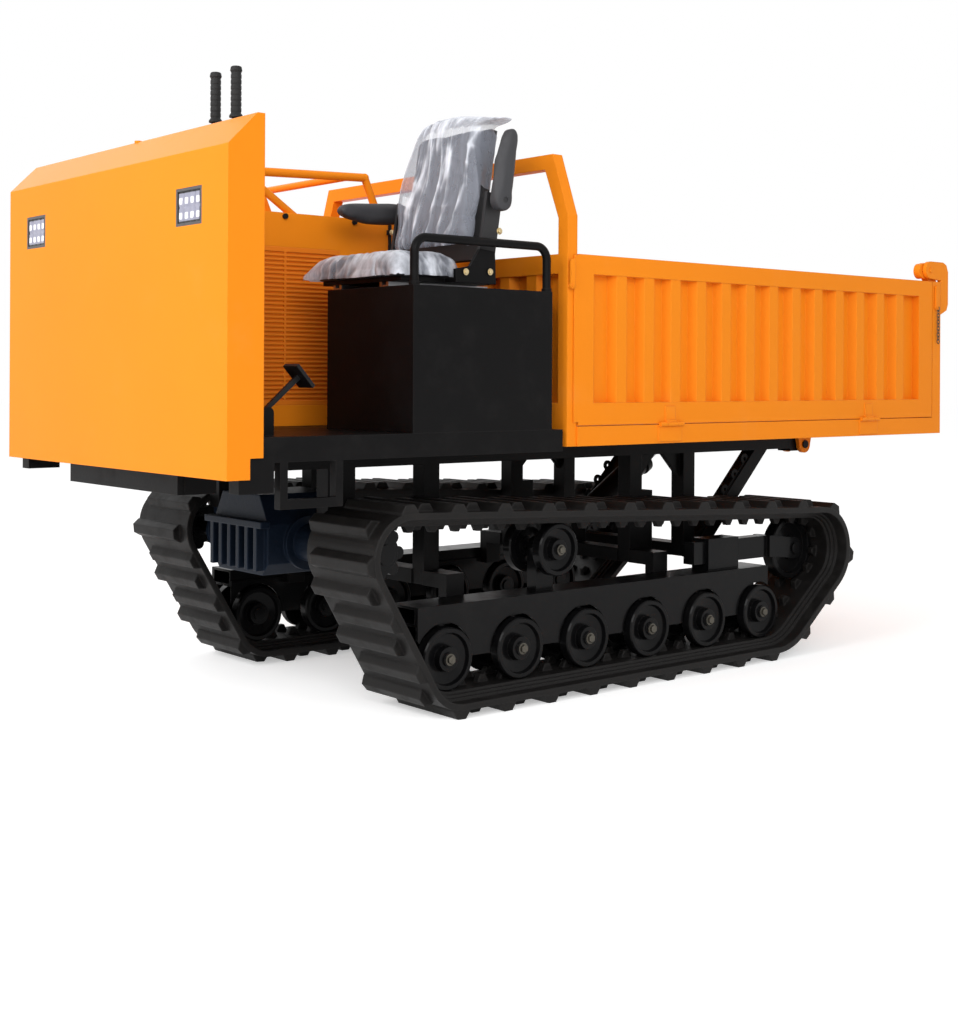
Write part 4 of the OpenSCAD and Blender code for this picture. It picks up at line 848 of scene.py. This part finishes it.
# %% Louvres
grille_low, grille_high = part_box("hood_grille")
GRILLE_ROWS, WALL = 34, 0.004
rise = (grille_high.z - grille_low.z - 0.024) / GRILLE_ROWS
for wall_x, inward, name in ((grille_high.x - WALL, -1, "left"), (grille_low.x + WALL, 1, "right")):
    first = grille_low.z + 0.012 + 0.25 * rise
    near, far = sorted((wall_x, wall_x + inward * 0.0012))
    blade = box("louvres_" + name, (near, grille_low.y + 0.008, first - 0.0020),
                (far, grille_high.y - 0.008, first + rise * 0.5 + 0.0025))
    choose(blade, lambda m, n: n.z < -0.9)
    bpy.ops.transform.translate(value=(inward * 0.0035, 0, 0))
    use(blade, "BEVEL", width=0.0003, segments=1)
    use(blade, "ARRAY", count=GRILLE_ROWS, use_relative_offset=False, use_constant_offset=True,
        constant_offset_displace=(0, 0, rise))
    deliver(blade, "base", grille_paint, 30)

# %% [markdown]
# ## Bolts
# The seat's brackets are held by hexagon bolts on washers, in yellow zinc. One bolt is modelled on
# the origin, pointing up, and copied to each place with a matrix that turns it to its face.

# %% Bolts
head = bar("bolt_head", (0, 0, 0.0016), (0, 0, 0.0070), 0.0090, 6)
choose(head, lambda m, n: n.z > 0.9)
bpy.ops.mesh.inset(thickness=0.0013)
bpy.ops.transform.translate(value=(0, 0, 0.0009))
washer = bar("bolt_washer", (0, 0, 0), (0, 0, 0.0018), 0.0120, 28)
use(washer, "BEVEL", width=0.0005, segments=2)
bolt = joined("bolt", [head, washer])


def bolt_on(name, place, way, size, body, finish):
    turn = Vector(way).to_track_quat("Z", "Y").to_matrix().to_4x4()
    copy = copied(bolt, name, Matrix.Translation(place) @ turn @ Matrix.Scale(size, 4))
    deliver(copy, body, finish, 30)


for side, name in ((1, "left"), (-1, "right")):
    for number, (y, z) in enumerate(((-0.817, 1.310), (-0.723, 1.314)), 1):
        bolt_on("bracket_bolt_%s_%d" % (name, number), (SEAT_X + side * 0.256, y, z), (side, 0, 0), 0.85,
                "seat", brass)
    bolt_on("shell_bolt_" + name, (SEAT_X + side * 0.228, -0.664, 1.442), (side, 0, 0), 0.9, "backrest",
            brass)
bolt_on("hood_strap_pin", (0.014, -0.614, 1.484), (1, 0, 0), 0.8, "base", brass)

# %% [markdown]
# ## Wheel nuts
# A nut on a washer ends the axle of each road wheel and carrier roller. It is the same bolt, larger,
# and each one rides on its own wheel, so that it turns with it.

# %% Wheel nuts
NUT_X, FIRST_WHEEL_Y, WHEEL_PITCH, AXLE_Z = 0.6275, -0.846, 0.288, 0.1624
ROLLER_Y, ROLLER_Z = -0.400, 0.455
for side, name in ((1, "left"), (-1, "right")):
    for number in range(1, 7):
        axle = (side * NUT_X, FIRST_WHEEL_Y + WHEEL_PITCH * (number - 1), AXLE_Z)
        bolt_on("wheel_nut_%s_%d" % (name, number), axle, (side, 0, 0), 1.5,
                "wheel_%s_%d" % (name, number), chain_steel)
    bolt_on("roller_nut_" + name, (side * NUT_X, ROLLER_Y, ROLLER_Z), (side, 0, 0), 1.4,
            "top_roller_" + name, chain_steel)

# %% [markdown]
# ## Cheek plates
# The wheel axles hang between two cheeks of the track frame. The outer cheek is in the frame; the
# inner one is the same flame-cut plate with a scallop over each wheel. Its outline is a ring of
# corners that follows the scallops, filled and pulled to the plate's thickness. The first and last
# scallop stop short, where the plate ends.

# %% Cheek plates
SCALLOP_Z, SCALLOP, CHEEK_X, CHEEK_THICK = 0.162, 0.106, 0.462, 0.008
outline = [(-0.945, 0.282), (0.655, 0.282)]
for number in range(5, -1, -1):
    middle = FIRST_WHEEL_Y + WHEEL_PITCH * number
    first = 54.9 if number == 5 else -2.2
    last = 159.0 if number == 0 else 182.2
    for k in range(13):
        a = math.radians(first + (last - first) * k / 12)
        outline.append((middle + SCALLOP * math.cos(a), SCALLOP_Z + SCALLOP * math.sin(a)))
for side, name in ((1, "left"), (-1, "right")):
    corners = [(side * CHEEK_X, y, z) for y, z in outline]
    cheek = plate("track_cheek_" + name, corners, (side * CHEEK_THICK, 0, 0))
    use(cheek, "BEVEL", width=0.001, segments=1, limit_method="ANGLE", angle_limit=math.radians(60))
    deliver(cheek, "base", running_gear, 30)

# %% [markdown]
# ## Latch chains
# The pins of the rear latches hang on short chains so that they don't get lost. One link is a ring
# stretched into an oval; every second link is turned by a quarter.

# %% Latch chains
CHAIN_X, CHAIN_Y, CHAIN_TOP, LINK_STEP, LINKS = 0.7092, 1.566, 1.276, 0.0128, 11
QUARTER = math.radians(90)
ready()
bpy.ops.mesh.primitive_torus_add(major_radius=0.0055, minor_radius=0.0014,
                                 major_segments=18, minor_segments=8)
link = named("chain_link")
choose(link, lambda m, n: True)
bpy.ops.transform.resize(value=(1.0, 1.55, 1.0), center_override=(0, 0, 0))
ready(link)
for side, name in ((1, "left"), (-1, "right")):
    links = []
    for number in range(LINKS):
        turn = Matrix.Rotation(QUARTER, 4, "X") @ Matrix.Rotation(QUARTER * (number % 2), 4, "Y")
        place = Matrix.Translation((side * CHAIN_X, CHAIN_Y, CHAIN_TOP - LINK_STEP * number))
        links.append(copied(link, "chain_link_copy", place @ turn))
    chain = joined("latch_chain_" + name, links)
    deliver(chain, "tipping_box", chain_steel, 60)
bpy.data.objects.remove(link)
bpy.data.objects.remove(bolt)
